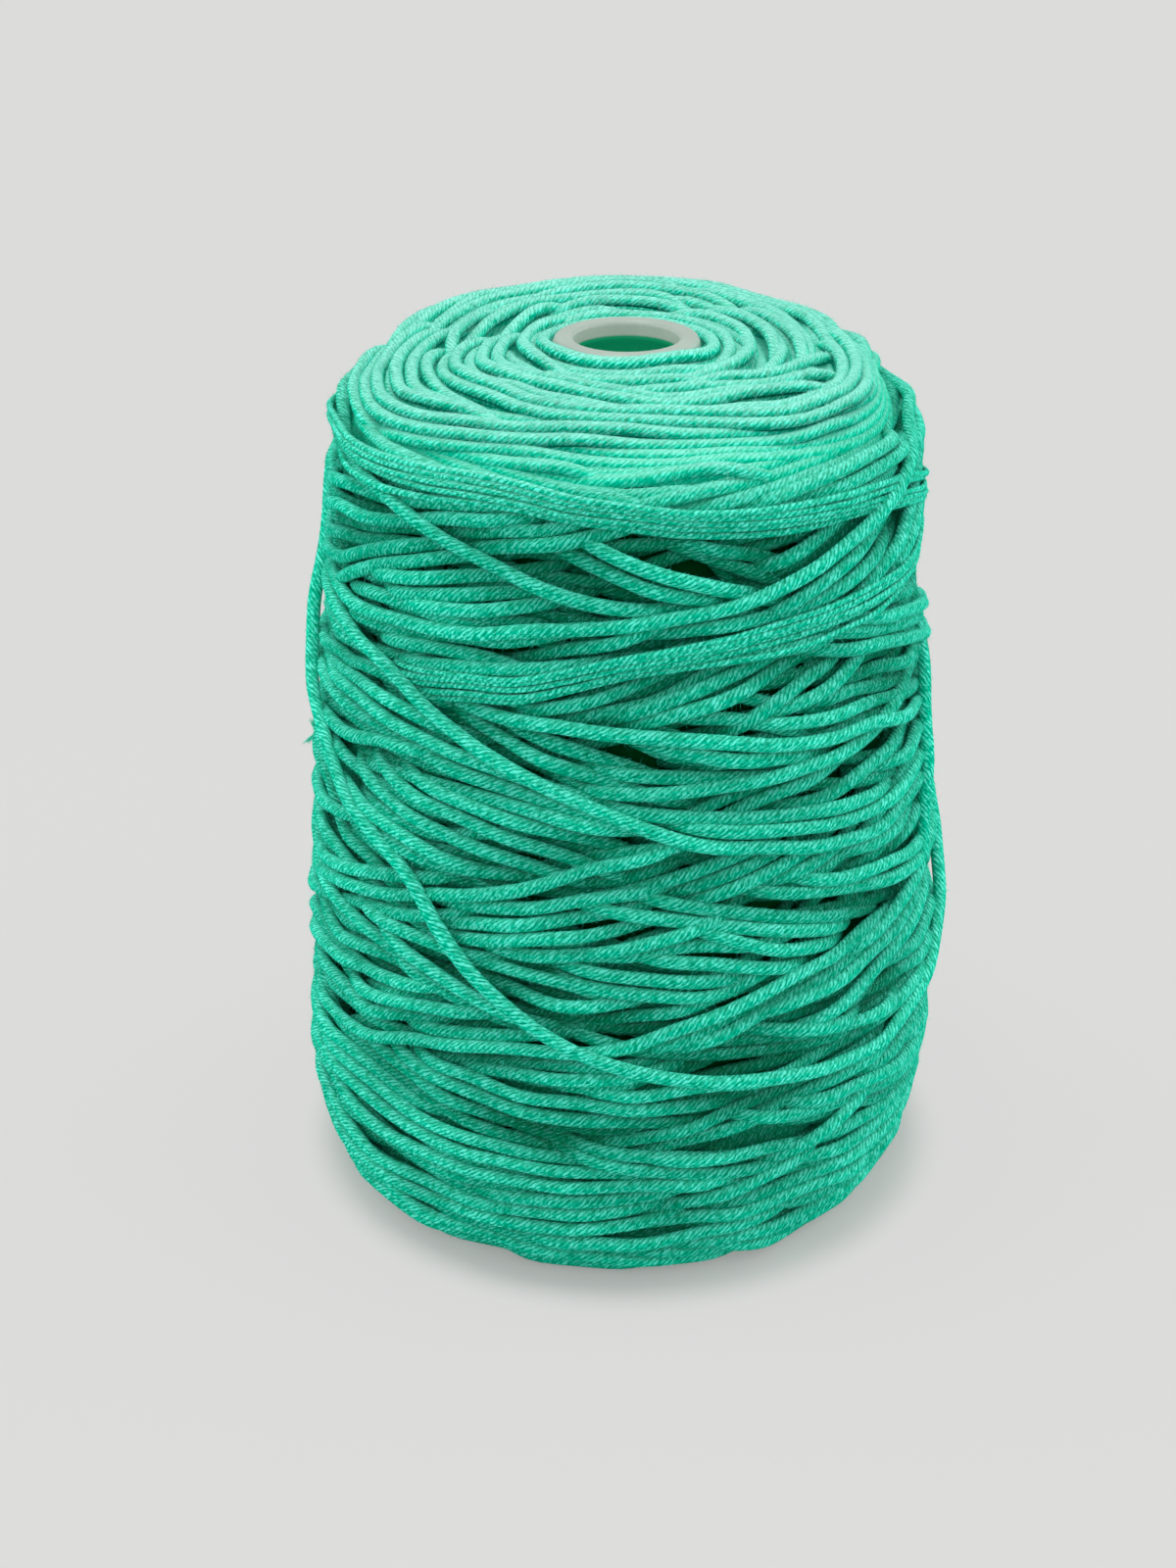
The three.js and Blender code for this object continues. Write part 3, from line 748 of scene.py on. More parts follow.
# The singles of an opened turn: how many, how far apart, their radius, and by how much one may start late or
# end early.
SINGLES, SINGLE_PITCH, SINGLE_RADIUS, SINGLE_SHORT = 5, 1.42, 0.69, 26


def wind_top_turns(winding, rng):
    """Arcs round the rim, over the flat of the top."""
    turns = []
    for k in range(TOP_ARCS):
        start, span = rng.uniform(0, ROUND), rng.uniform(*ARC_SPAN)
        inner = RIM_REACH + ARC_INNER * ((k * GOLDEN) % 1.0)
        outer = np.clip(inner + rng.uniform(-ARC_DRIFT, ARC_DRIFT), RIM_REACH, ARC_OUTER)
        share = np.linspace(0, 1, SAMPLES)
        reach = inner + (outer - inner) * share + wobble(rng, SAMPLES + 1, 1.0, 45.0, 1.3)[:SAMPLES]
        turns.append(winding.lay(
            start + span * share, np.clip(reach, RIM_REACH, ARC_LAST), sizes().radius,
            freedom=1.6, sinks=(SINK, SINK),
        ))
    return turns


def fill_gaps(winding, rng, reaches, count, open_above, shortest):
    """Lays short turns in along the widest gaps that are left, from one place where they go under to the
    next. open_above is the lift from which a gap counts as open."""
    turns = []
    for _ in range(count):
        azimuth, reach = rng.uniform(0, ROUND, FILL_TRIES), rng.uniform(*reaches, FILL_TRIES)
        best = np.argmax(winding.map[winding.cells(azimuth, reach)])
        score, slope, ends = longest_gap(winding, rng, azimuth[best], reach[best], open_above)
        if score < shortest / STEP:
            continue
        way = np.arange(-ends[0] * STEP - FILL_DIVE, ends[1] * STEP + FILL_DIVE, STEP)
        azimuth, reach = sloped(azimuth[best], reach[best], way, slope)
        keep = inside(reach)
        reach = reach + FILL_BOW * rng.normal() * np.sin(np.linspace(0, math.pi, len(reach)))
        turns.append(winding.lay(
            azimuth[keep], np.clip(reach[keep], *REACH_LIMITS), sizes().radius,
            freedom=1.6, sinks=(SINK, SINK),
        ))
    return turns


def longest_gap(winding, rng, azimuth, reach, open_above):
    """The longest open way through a place: how long it is in samples, its slope, and how far it goes on to
    each side."""
    way, best = np.arange(0, FILL_REACH, STEP), (0.0, 0.0, (0, 0))
    steep = 1.0 if STEEP_REACHES[0] < reach < STEEP_REACHES[1] else FLATTER
    for slope in np.radians(FILL_SLOPES) * steep * rng.uniform(0.85, 1.15):
        score, ends = 0.0, []
        for hand in (-1, 1):
            around, down = sloped(azimuth, reach, hand * way, slope)
            free = winding.room(around, down, sizes().radius) > open_above
            gain = np.cumsum(np.where(free, 1.0, -0.4) * np.where(inside(down), 1, -99))
            ends.append(np.argmax(gain))
            score += gain.max()
        score *= rng.uniform(0.8, 1.2)
        if score > best[0]:
            best = score, slope, ends
    return best


def sloped(azimuth, reach, way, slope):
    """A straight route of that slope through a place."""
    down = reach + way * math.sin(slope)
    return azimuth + way * math.cos(slope) / radius_at((down + reach) / 2), down


def inside(reach):
    return (reach > REACH_LIMITS[0]) & (reach < REACH_LIMITS[1])


def wind_open_turn(winding, course, rng):
    """A ribbon of thin singles side by side."""
    azimuth, reach, clear = through(course)
    azimuth, reach = even_route(azimuth, reach)
    clear, across = resampled(clear, len(azimuth)), sideways(azimuth, reach)
    way, turns = np.arange(len(azimuth)) * STEP, []
    for k in range(SINGLES):
        first, last = (int(v / STEP) for v in rng.uniform(0, SINGLE_SHORT, 2))
        aside = (k - (SINGLES - 1) / 2) * SINGLE_PITCH * (1 + 0.12 * np.sin(way / 17.0 + 1.3))
        aside = aside + wobble(rng, len(way) * STEP + STEP, STEP, 24.0, 0.22)[:len(way)]
        part = slice(first, len(azimuth) - last)
        around, down = beside(azimuth, reach, across, aside)
        turns.append(winding.lay(
            around[part], down[part], SINGLE_RADIUS * rng.uniform(0.88, 1.15), freedom=0, sinks=(SINK, SINK),
            clear=clear[part] + rng.uniform(-0.1, 0.5),
        ))
    return turns


# ---- meshes -------------------------------------------------------------------------------------------
SWELL_EVERY, SWELL = 9, 0.045     # samples between where a yarn is thicker and thinner, and how much
SUNK_FROM, SUNK_OVER = 1.2, 4.5   # the depth where a turn begins to lie in a gap, and from there to all in it
DEEP_SHADE, FLAT_LIGHT = 0.8, 0.8 # how much painted shade a gap gets, and how much less of that on the top
OPEN_RADIUS = 1.0                 # thinner yarns are the singles of an opened turn


def mesh_object(name, points, faces, uvs=None, smooth=True, **values):
    """A mesh from millimetre points and faces, which are arrays of corners with as many columns as sides.
    Each further value is kept as an attribute of the points."""
    mesh = bpy.data.meshes.new(name)
    totals = np.concatenate([np.full(len(f), f.shape[1]) for f in faces])
    corners = np.concatenate([f.ravel() for f in faces])
    mesh.vertices.add(len(points))
    mesh.vertices.foreach_set("co", (points * MM).astype(np.float32).ravel())
    mesh.loops.add(len(corners))
    mesh.loops.foreach_set("vertex_index", corners.astype(np.int32))
    mesh.polygons.add(len(totals))
    mesh.polygons.foreach_set("loop_start", np.concatenate(([0], np.cumsum(totals)[:-1])).astype(np.int32))
    mesh.polygons.foreach_set("loop_total", totals.astype(np.int32))
    mesh.polygons.foreach_set("use_smooth", np.full(len(totals), smooth))
    if uvs is not None:
        layer = mesh.uv_layers.new(name="Yarn")
        layer.data.foreach_set("uv", uvs.astype(np.float32).ravel())
    for attribute, numbers in values.items():
        layer = mesh.attributes.new(attribute, "FLOAT", "POINT")
        layer.data.foreach_set("value", numbers.astype(np.float32))
    mesh.update(calc_edges=True)
    mesh.validate()
    piece = bpy.data.objects.new(name, mesh)
    bpy.context.scene.collection.objects.link(piece)
    return piece


def unit(vectors):
    return vectors / np.linalg.norm(vectors, axis=1, keepdims=True)


def tube_rings(turn, sides, stride, rng):
    """Rings of points round one turn, with the way along it at each ring."""
    keep = np.unique(np.append(np.arange(0, len(turn.azimuth), stride), len(turn.azimuth) - 1))
    middle, out = place(turn.azimuth[keep], turn.reach[keep], turn.lift[keep])
    along = unit(np.gradient(middle, axis=0))
    out = unit(out - along * (out * along).sum(1, keepdims=True))
    side = np.cross(along, out)
    angle = np.arange(sides) * (ROUND / sides)
    knots = np.arange(0, keep[-1] + 2 * SWELL_EVERY, SWELL_EVERY)
    swell = 1 + np.interp(keep, knots, rng.normal(0, SWELL, len(knots)))
    radius = (turn.radius * swell)[:, None, None]
    rings = middle[:, None] + radius * (
        np.cos(angle)[:, None] * out[:, None] + np.sin(angle)[:, None] * side[:, None]
    )
    way = np.concatenate(([0], np.cumsum(np.linalg.norm(np.diff(middle, axis=0), axis=1))))
    return rings, way


def round_yarn(turn, sides, stride, start, rng):
    """One turn with closed ends, its corners numbered from start: points, sides, ends, the places on the yarn
    of both, and at each point its tone, its painted shade between others and how flat the package is there."""
    rings, way = tube_rings(turn, sides, stride, rng)
    n, j = len(rings), np.arange(sides)
    i, k = np.arange(n - 1)[:, None] * sides + start, (j + 1) % sides
    quads = np.stack((i + j, i + k, i + k + sides, i + j + sides), -1).reshape(-1, 4)
    caps = np.stack((start + j[::-1], start + (n - 1) * sides + j))
    u0, u1 = np.repeat(way[:-1], sides), np.repeat(way[1:], sides)
    v0, v1 = np.tile(j / sides, n - 1), np.tile((j + 1) / sides, n - 1)
    quad_uvs = np.stack((u0, v0, u0, v1, u1, v1, u1, v0), -1).reshape(-1, 2)
    cap_uvs = np.column_stack((np.repeat([way[0], way[-1]], sides), np.tile(j / sides, 2)))
    level = np.interp(resampled(turn.reach, n), REACHES, OUT_UP)
    # Painted shade between others, with less of it on the top.
    sunk = painted_gap_shade(turn, n, sides) * (1 - FLAT_LIGHT * np.clip(level, 0, 1))[:, None]
    tone = np.full(n * sides, rng.uniform(0, 1))
    return rings.reshape(-1, 3), quads, caps, quad_uvs, cap_uvs, tone, sunk.ravel(), np.repeat(level, sides)


def painted_gap_shade(turn, rings, sides):
    """How much painted shade each point of a turn gets: from 0 out in the open to 1 down in a gap, and more
    on its side that faces in.
    """
    deep = np.clip((-SUNK_FROM - resampled(turn.lift, rings)) / SUNK_OVER, 0, 1)
    # The singles of an opened turn stand apart, so their sides that face in get more painted shade.
    groove, begins = (0.75, 0.6) if turn.radius < OPEN_RADIUS else (0.2, -0.1)
    flank = np.clip((begins - np.cos(np.arange(sides) * (ROUND / sides))) / 0.9, 0, 1)
    return 1 - (1 - DEEP_SHADE * deep[:, None]) * (1 - groove * flank[None, :])


def yarn_piece(name, turns, material, sides, stride, seed):
    """All these turns as one piece, of yarns with so many sides."""
    rng, parts, count = np.random.default_rng(seed), [], 0
    for turn in turns:
        parts.append(round_yarn(turn, sides, stride, count, rng))
        count += len(parts[-1][0])
    points, quads, caps, quad_uvs, cap_uvs, tone, sunk, level = (np.concatenate(v) for v in zip(*parts))
    points[:, 2] = np.maximum(points[:, 2], 0.0)
    uvs = np.concatenate((quad_uvs, cap_uvs))
    return dressed(mesh_object(name, points, [quads, caps], uvs, tone=tone, sunk=sunk, level=level), material)


def dressed(piece, material):
    """A yarn piece with its finish, in place of the package's solid."""
    piece.data.materials.append(material)
    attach(piece, "root")
    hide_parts(YARN_NODE)
    return piece


# ---- materials ----------------------------------------------------------------------------------------
# A Mix node's sockets go by number: 0 is the share, and the two values are 2 and 3 for plain numbers, 4 and 5
# for directions and 6 and 7 for colours. Its results are 0, 1 and 2 for these three.
MULTIPLY, MULTIPLY_ADD = {"operation": "MULTIPLY"}, {"operation": "MULTIPLY_ADD"}
SMOOTH_STEP = {"interpolation_type": "SMOOTHSTEP"}
POINT = {"vector_type": "POINT"}
MIX_NUMBERS, MIX_DIRECTIONS, MIX_COLOURS = ({"data_type": kind} for kind in ("FLOAT", "VECTOR", "RGBA"))
TINT = {"data_type": "RGBA", "blend_type": "MULTIPLY"}
LIP_DEPTH = (2.9, 3.5)        # below the tube's top, between which its thick lip gives way to the thin wall
GLOW_DEPTH = (5.0, 60.0)      # between which the painted glow in the tube fades


def new_material(name):
    material = bpy.data.materials.new(name)
    material.use_nodes = True
    tree = material.node_tree
    tree.nodes.clear()
    output = tree.nodes.new("ShaderNodeOutputMaterial")
    return material, tree, output


def add(tree, kind, settings=None, inputs=None, links=None):
    """Adds a node with its settings, its plain input values and its links from other nodes' sockets."""
    node = tree.nodes.new(kind)
    for key, value in (settings or {}).items():
        setattr(node, key, value)
    for key, value in (inputs or {}).items():
        node.inputs[key].default_value = value
    for key, socket in (links or {}).items():
        tree.links.new(socket, node.inputs[key])
    return node


def rgba(colour):
    return (*colour, 1.0)


def span(start, end, first, last):
    """What a Map Range node turns into what."""
    return {"From Min": start, "From Max": end, "To Min": first, "To Max": last}


def ply_relief(tree, plies, lead):
    """Plies that run round the yarn as slanting ribs. Gives the place on them, and their height."""
    uv = add(tree, "ShaderNodeUVMap", {"uv_map": "Yarn"})
    parts = add(tree, "ShaderNodeSeparateXYZ", links={"Vector": uv.outputs["UV"]})
    along = add(tree, "ShaderNodeMath", MULTIPLY, {1: plies / lead}, {0: parts.outputs["X"]})
    phase = add(
        tree, "ShaderNodeMath", MULTIPLY_ADD, {1: float(plies)}, {0: parts.outputs["Y"], 2: along.outputs[0]},
    )
    tone = add(tree, "ShaderNodeAttribute", {"attribute_name": "tone"})
    spot = add(
        tree, "ShaderNodeCombineXYZ",
        links={"X": phase.outputs[0], "Y": parts.outputs["X"], "Z": tone.outputs["Fac"]},
    )
    # Staple fibres lie along the ply, so the noise is stretched along it: 0.25 mm across and 1.5 mm long.
    staple = add(tree, "ShaderNodeMapping", POINT, {"Scale": (3.4, 0.8, 40.0)}, {"Vector": spot.outputs[0]})
    fibre = add(
        tree, "ShaderNodeTexNoise", inputs={"Scale": 1.0, "Detail": 3.0, "Roughness": 0.65},
        links={"Vector": staple.outputs[0]},
    )
    # The plies swell, shift by a fraction of their width and dip under each other every millimetre or two.
    swell = add(
        tree, "ShaderNodeTexNoise", inputs={"Scale": 0.9, "Detail": 2.0}, links={"Vector": spot.outputs[0]},
    )
    shifted = add(
        tree, "ShaderNodeMath", MULTIPLY_ADD, {1: 1.3}, {0: swell.outputs["Fac"], 2: phase.outputs[0]},
    )
    bent = add(
        tree, "ShaderNodeMath", MULTIPLY_ADD, {1: 0.5}, {0: fibre.outputs["Fac"], 2: shifted.outputs[0]},
    )
    half_turn = add(tree, "ShaderNodeMath", MULTIPLY, {1: math.pi}, {0: bent.outputs[0]})
    wave = add(tree, "ShaderNodeMath", {"operation": "SINE"}, links={0: half_turn.outputs[0]})
    rib = add(tree, "ShaderNodeMath", {"operation": "ABSOLUTE"}, links={0: wave.outputs[0]})
    dips = add(tree, "ShaderNodeMapping", POINT, {"Scale": (0.75, 0.85, 23.0)}, {"Vector": spot.outputs[0]})
    dip = add(
        tree, "ShaderNodeTexNoise", inputs={"Scale": 1.0, "Detail": 1.0}, links={"Vector": dips.outputs[0]},
    )
    up = add(
        tree, "ShaderNodeMapRange", inputs=span(0.32, 0.68, 0.2, 0.8), links={"Value": dip.outputs["Fac"]},
    )
    ridge = add(tree, "ShaderNodeMath", MULTIPLY, links={0: rib.outputs[0], 1: up.outputs["Result"]})
    height = add(
        tree, "ShaderNodeMath", MULTIPLY_ADD, {1: 0.75}, {0: fibre.outputs["Fac"], 2: ridge.outputs[0]},
    )
    return spot.outputs[0], height.outputs[0]


def dyed_and_shaded_plies(tree, spot, height):
    """The dye's colour, with painted shade between the plies and painted highlights on the raised ends of
    their fibres.
    """
    look = sizes()
    ramp = add(tree, "ShaderNodeValToRGB", links={"Fac": height})
    # Painted shade in the grooves, the yarn's colour on the plies, and a painted highlight on their ridges.
    stops = ramp.color_ramp.elements
    stops[0].position, stops[0].color = 0.22, rgba(look.deep)
    stops[1].position, stops[1].color = 1.0, rgba(look.light)
    stops.new(0.72).color = rgba(look.body)
    # Dye takes a little unevenly from one length to the next.
    patch = add(tree, "ShaderNodeTexNoise", inputs={"Scale": 0.06, "Detail": 2.0}, links={"Vector": spot})
    taken = add(
        tree, "ShaderNodeMapRange", inputs=span(0.3, 0.7, 0.93, 1.07), links={"Value": patch.outputs["Fac"]},
    )
    dyed = add(
        tree, "ShaderNodeMix", TINT, {"Factor": 1.0}, {6: ramp.outputs["Color"], 7: taken.outputs["Result"]},
    )
    return dyed.outputs[2]


def painted_top_highlight(tree, dyed, height, flat, where):
    """The same colour with a pale, woolly painted highlight on what faces up. The top of the package has
    most of it."""
    surface = add(tree, "ShaderNodeNewGeometry")
    facing = add(tree, "ShaderNodeSeparateXYZ", links={"Vector": surface.outputs["Normal"]})
    upward = add(
        tree, "ShaderNodeMapRange", SMOOTH_STEP, span(0.3, 0.95, 0.0, 1.0), {"Value": facing.outputs["Z"]},
    )
    wool = add(
        tree, "ShaderNodeTexNoise", inputs={"Scale": 2.1 / MM, "Detail": 3.0, "Roughness": 0.7},
        links={"Vector": where},
    )
    woolly = add(tree, "ShaderNodeMath", MULTIPLY, {1: 0.65}, {0: flat})
    standing = add(
        tree, "ShaderNodeMix", MIX_NUMBERS, links={0: woolly.outputs[0], 2: height, 3: wool.outputs["Fac"]},
    )
    raised = add(
        tree, "ShaderNodeMapRange", SMOOTH_STEP, span(0.32, 0.66, 0.1, 1.0), {"Value": standing.outputs[0]},
    )
    # Painted highlight, strongest on the top and only on what faces up.
    amount = add(tree, "ShaderNodeMath", MULTIPLY_ADD, {1: 0.72, 2: 0.13}, {0: flat})
    top_highlight = add(tree, "ShaderNodeMath", MULTIPLY, links={0: amount.outputs[0], 1: upward.outputs["Result"]})
    shown = add(tree, "ShaderNodeMath", MULTIPLY, links={0: top_highlight.outputs[0], 1: raised.outputs["Result"]})
    pale = add(tree, "ShaderNodeMix", MIX_COLOURS, {7: rgba(sizes().top_highlight)}, {0: shown.outputs[0], 6: dyed})
    return pale.outputs[2]


def felted(tree, height, ply_depth, flat, where):
    """The direction that the yarn takes the light from. Fibres stand off it all round, more of them on the
    top, and take the light like a felt that lies over the turns."""
    bump = add(
        tree, "ShaderNodeBump", inputs={"Strength": 0.8, "Distance": ply_depth * MM},
        links={"Height": height},
    )
    spread = add(tree, "ShaderNodeSeparateXYZ", links={"Vector": where})
    level = add(
        tree, "ShaderNodeCombineXYZ", links={"X": spread.outputs["X"], "Y": spread.outputs["Y"]},
    )
    outward = add(tree, "ShaderNodeVectorMath", {"operation": "NORMALIZE"}, links={0: level.outputs[0]})
    skin = add(
        tree, "ShaderNodeMix", MIX_DIRECTIONS, {5: (0.0, 0.0, 1.0)}, {0: flat, 4: outward.outputs[0]},
    )
    amount = add(tree, "ShaderNodeMath", MULTIPLY_ADD, {1: 0.32, 2: 0.34}, {0: flat})
    combed = add(
        tree, "ShaderNodeMix", MIX_DIRECTIONS,
        links={0: amount.outputs[0], 4: bump.outputs["Normal"], 5: skin.outputs[1]},
    )
    normal = add(tree, "ShaderNodeVectorMath", {"operation": "NORMALIZE"}, links={0: combed.outputs[1]})
    return normal.outputs[0]


def spun_acrylic(name, plies, lead, ply_depth):
    """Soft acrylic yarn, spun and plied. The plies catch the light as fine slanting ribs, with painted shade
    in the grooves between them and painted highlights on their raised fibre ends. What faces up gets a pale
    painted highlight."""
    material, tree, output = new_material(name)
    where = add(tree, "ShaderNodeTexCoord").outputs["Object"]
    level = add(tree, "ShaderNodeAttribute", {"attribute_name": "level"})
    flat = add(
        tree, "ShaderNodeMapRange", SMOOTH_STEP, span(0.25, 0.95, 0.0, 1.0), {"Value": level.outputs["Fac"]},
    ).outputs["Result"]
    spot, height = ply_relief(tree, plies, lead)
    colour = painted_top_highlight(tree, dyed_and_shaded_plies(tree, spot, height), height, flat, where)
    # Painted shade: what lies between other turns is mixed towards the shaded colour. On the top the yarn
    # also glows faintly in its own colour, most in the gaps, as painted light.
    sunk = add(tree, "ShaderNodeAttribute", {"attribute_name": "sunk"}).outputs["Fac"]
    between = add(tree, "ShaderNodeMix", MIX_COLOURS, {7: rgba(sizes().shaded)}, {0: sunk, 6: colour})
    # Painted glow: the yarn's own colour is emitted on the top, most in the gaps.
    deeper = add(tree, "ShaderNodeMath", MULTIPLY_ADD, {1: 1.2, 2: 0.03}, {0: sunk})
    painted_glow = add(tree, "ShaderNodeMath", MULTIPLY, links={0: flat, 1: deeper.outputs[0]})
    cloth = add(
        tree, "ShaderNodeBsdfPrincipled",
        inputs={
            "Roughness": 0.95, "IOR": 1.46, "Specular IOR Level": 0.0, "Emission Color": rgba(sizes().body),
            "Sheen Weight": 0.1, "Sheen Roughness": 0.35, "Sheen Tint": (0.06, 1.0, 0.85, 1.0),
        },
        links={
            "Base Color": between.outputs[2], "Normal": felted(tree, height, ply_depth, flat, where),
            "Emission Strength": painted_glow.outputs[0],
        },
    )
    tree.links.new(cloth.outputs["BSDF"], output.inputs["Surface"])
    return material


def loose_fibre(name):
    """Ends of acrylic staple that stand off the yarn. They are thin, tinted at random between the yarn's
    colour and its highlight colour, and on the top they take the pale painted highlight.
    """
    material, tree, output = new_material(name)
    tone = add(tree, "ShaderNodeAttribute", {"attribute_name": "tone"})
    ramp = add(tree, "ShaderNodeValToRGB", links={"Fac": tone.outputs["Fac"]})
    stops = ramp.color_ramp.elements
    stops[0].color, stops[1].color = rgba(sizes().body), rgba(sizes().light)
    # Painted highlight: fibres on the top are made paler.
    level = add(tree, "ShaderNodeAttribute", {"attribute_name": "level"})
    share = add(tree, "ShaderNodeMath", MULTIPLY, {1: 0.7}, {0: level.outputs["Fac"]})
    pale = add(
        tree, "ShaderNodeMix", MIX_COLOURS, {7: rgba(sizes().top_highlight)},
        {0: share.outputs[0], 6: ramp.outputs["Color"]},
    )
    fibre = add(
        tree, "ShaderNodeBsdfPrincipled", inputs={"Roughness": 0.95, "Specular IOR Level": 0.0},
        links={"Base Color": pale.outputs[2]},
    )
    tree.links.new(fibre.outputs["BSDF"], output.inputs["Surface"])
    return material


def painted_glow_in_the_tube(tree, height, lip):
    """A painted glow for the daylight that comes in through the wall above: the inside of the tube and its
    lip glow faintly.
    """
    deep, high = (TUBE_HIGH.z - depth * MM for depth in GLOW_DEPTH[::-1])
    shine = add(
        tree, "ShaderNodeMapRange", inputs=span(deep, high, 0.0, 0.75), links={"Value": height},
    )
    below = add(tree, "ShaderNodeMath", MULTIPLY_ADD, {1: -1.0, 2: 1.0}, {0: lip})
    glow = add(tree, "ShaderNodeMath", MULTIPLY, links={0: shine.outputs["Result"], 1: below.outputs[0]})
    surface = add(tree, "ShaderNodeNewGeometry")
    facing = add(tree, "ShaderNodeSeparateXYZ", links={"Vector": surface.outputs["Normal"]})
    wall = add(
        tree, "ShaderNodeMapRange", inputs=span(0.7, 0.1, 0.0, 0.42), links={"Value": facing.outputs["Z"]},
    )
    edge = add(tree, "ShaderNodeMath", MULTIPLY, links={0: wall.outputs["Result"], 1: lip})
    lit = add(tree, "ShaderNodeMath", {"operation": "ADD"}, links={0: glow.outputs[0], 1: edge.outputs[0]})
    return lit.outputs[0]


def moulded_polypropylene():
    """Natural polypropylene, injection moulded. It is milky and a little glossy at the rim, and the green of
    the yarn behind its thin wall shows through further down. A faint painted glow lights its inside and lip."""
    material, tree, output = new_material("moulded polypropylene")
    look = bpy.context.scene.tube_finish
    where = add(tree, "ShaderNodeTexCoord").outputs["Object"]
    height = add(tree, "ShaderNodeSeparateXYZ", links={"Vector": where}).outputs["Z"]
    lip = add(
        tree, "ShaderNodeMapRange", SMOOTH_STEP,
        span(*(TUBE_HIGH.z - depth * MM for depth in LIP_DEPTH[::-1]), 0.0, 1.0), {"Value": height},
    ).outputs["Result"]
    ramp = add(tree, "ShaderNodeValToRGB", links={"Fac": lip})
    ramp.color_ramp.elements[0].color = rgba(look.through)
    ramp.color_ramp.elements[1].color = rgba(look.plastic)
    cloud = add(
        tree, "ShaderNodeTexNoise", inputs={"Scale": 90.0, "Detail": 3.0}, links={"Vector": where},
    ).outputs["Fac"]
    haze = add(tree, "ShaderNodeMapRange", inputs=span(0.3, 0.7, 0.9, 1.05), links={"Value": cloud})
    milky = add(
        tree, "ShaderNodeMix", TINT, {"Factor": 1.0}, {6: ramp.outputs["Color"], 7: haze.outputs["Result"]},
    )
    scuff = add(tree, "ShaderNodeMapRange", inputs=span(0.3, 0.7, 0.28, 0.42), links={"Value": cloud})
    grain = add(
        tree, "ShaderNodeBump", inputs={"Strength": 0.25, "Distance": 0.15 * MM}, links={"Height": cloud},
    )
    plastic = add(
        tree, "ShaderNodeBsdfPrincipled", inputs={"IOR": 1.49, "Specular IOR Level": 0.5},
        links={
            "Base Color": milky.outputs[2], "Roughness": scuff.outputs["Result"],
            "Normal": grain.outputs["Normal"], "Emission Color": ramp.outputs["Color"],
            "Emission Strength": painted_glow_in_the_tube(tree, height, lip),
        },
    )
    tree.links.new(plastic.outputs["BSDF"], output.inputs["Surface"])
    return material


# ---- raised fibres ------------------------------------------------------------------------------------
FIBRE_PIECES = 2
WISPS, WISP_WIDTH = 0.3, 0.05     # the share of the fibres that stand right off, and how thin they are
LONGEST_FIBRE = 4.0
NAP_DEPTH, NAP_OVER = 7.0, 5.0    # the depth with hardly any nap, and how much further out it is full
NAP_LEAST = 0.06
NAP_ON_TOP = 1.6                  # how much more of it the top has
# Bits of staple that have worked loose on the slack turn: root and heading, and length.
FRAYED_ENDS = (
    ((-71.4, -8.0, 110.7), (-0.80, -0.1, -0.60), 3.8),
    ((-71.3, -8.0, 112.4), (-0.35, -0.1, 0.93), 3.2),
)
FRAYED_FIBRES, FRAYED_WIDTH = 70, 0.2


def uprightness(reach):
    """1 on the flat of the top, 0 on the side."""
    return np.clip(np.interp(reach, REACHES, OUT_UP), 0, 1)


def seen_weight(turn):
    """How much nap each place on a turn shows: less where it lies deep, and more on the top."""
    out = np.clip((turn.lift + NAP_DEPTH) / NAP_OVER, NAP_LEAST, 1.0)
    return out * (1 + NAP_ON_TOP * uprightness(turn.reach))


def raised_fibres(turn, number, rng):
    """Roots, headings, flat sides, lengths, widths and uprightness of the fibres on one turn. Most are the
    raised ends of the spun staple and follow the plies, and the others stand off as wisps."""
    samples, seen = np.arange(len(turn.azimuth)), np.cumsum(seen_weight(turn))
    at = np.interp(rng.uniform(seen[1], seen[-2], number), seen, samples)
    middle, out = place(*(np.interp(at, samples, v) for v in (turn.azimuth, turn.reach, turn.lift)))
    ahead, _ = place(*(np.interp(at + 0.5, samples, v) for v in (turn.azimuth, turn.reach, turn.lift)))
    along = unit(ahead - middle)
    side = np.cross(along, out)
    angle = rng.uniform(-1.6, 1.6, number)[:, None]
    normal = np.cos(angle) * out + np.sin(angle) * side
    around = np.cos(angle) * side - np.sin(angle) * out
    wisp = rng.random(number) < WISPS
    slant = math.atan(ROUND * turn.radius / sizes().lead) + rng.normal(0, 0.3, number)
    slant = np.where(wisp, rng.uniform(0, ROUND, number), slant)[:, None]
    rise = np.where(wisp, rng.uniform(0.2, 1.1, number), rng.uniform(0.02, 0.26, number))[:, None]
    lying = along * np.cos(slant) - around * np.sin(slant)
    heads = lying * np.cos(rise) + normal * np.sin(rise)
    length = np.where(wisp, 0.6 + rng.exponential(0.6, number), rng.uniform(0.6, 1.5, number))
    width = np.where(wisp, WISP_WIDTH, rng.uniform(0.07, 0.16, number))
    level = uprightness(np.interp(at, samples, turn.reach))
    roots = middle + normal * turn.radius * 0.985
    return roots, heads, np.cross(heads, normal), np.minimum(length, LONGEST_FIBRE), width, level


def frayed_end(root, heading, length):
    """A tuft of fibres side by side, in the same terms as the raised fibres."""
    rng, number = np.random.default_rng(SEED), FRAYED_FIBRES
    roots = np.array(root) + rng.normal(0, 0.22, (number, 3))
    heads = np.array(heading) + rng.normal(0, 0.1, (number, 3))
    flats = np.cross(heads, rng.normal(0, 1, (number, 3)))
    lengths = length * rng.uniform(0.6, 1.0, number)
    return roots, heads, flats, lengths, np.full(number, FRAYED_WIDTH), np.zeros(number)


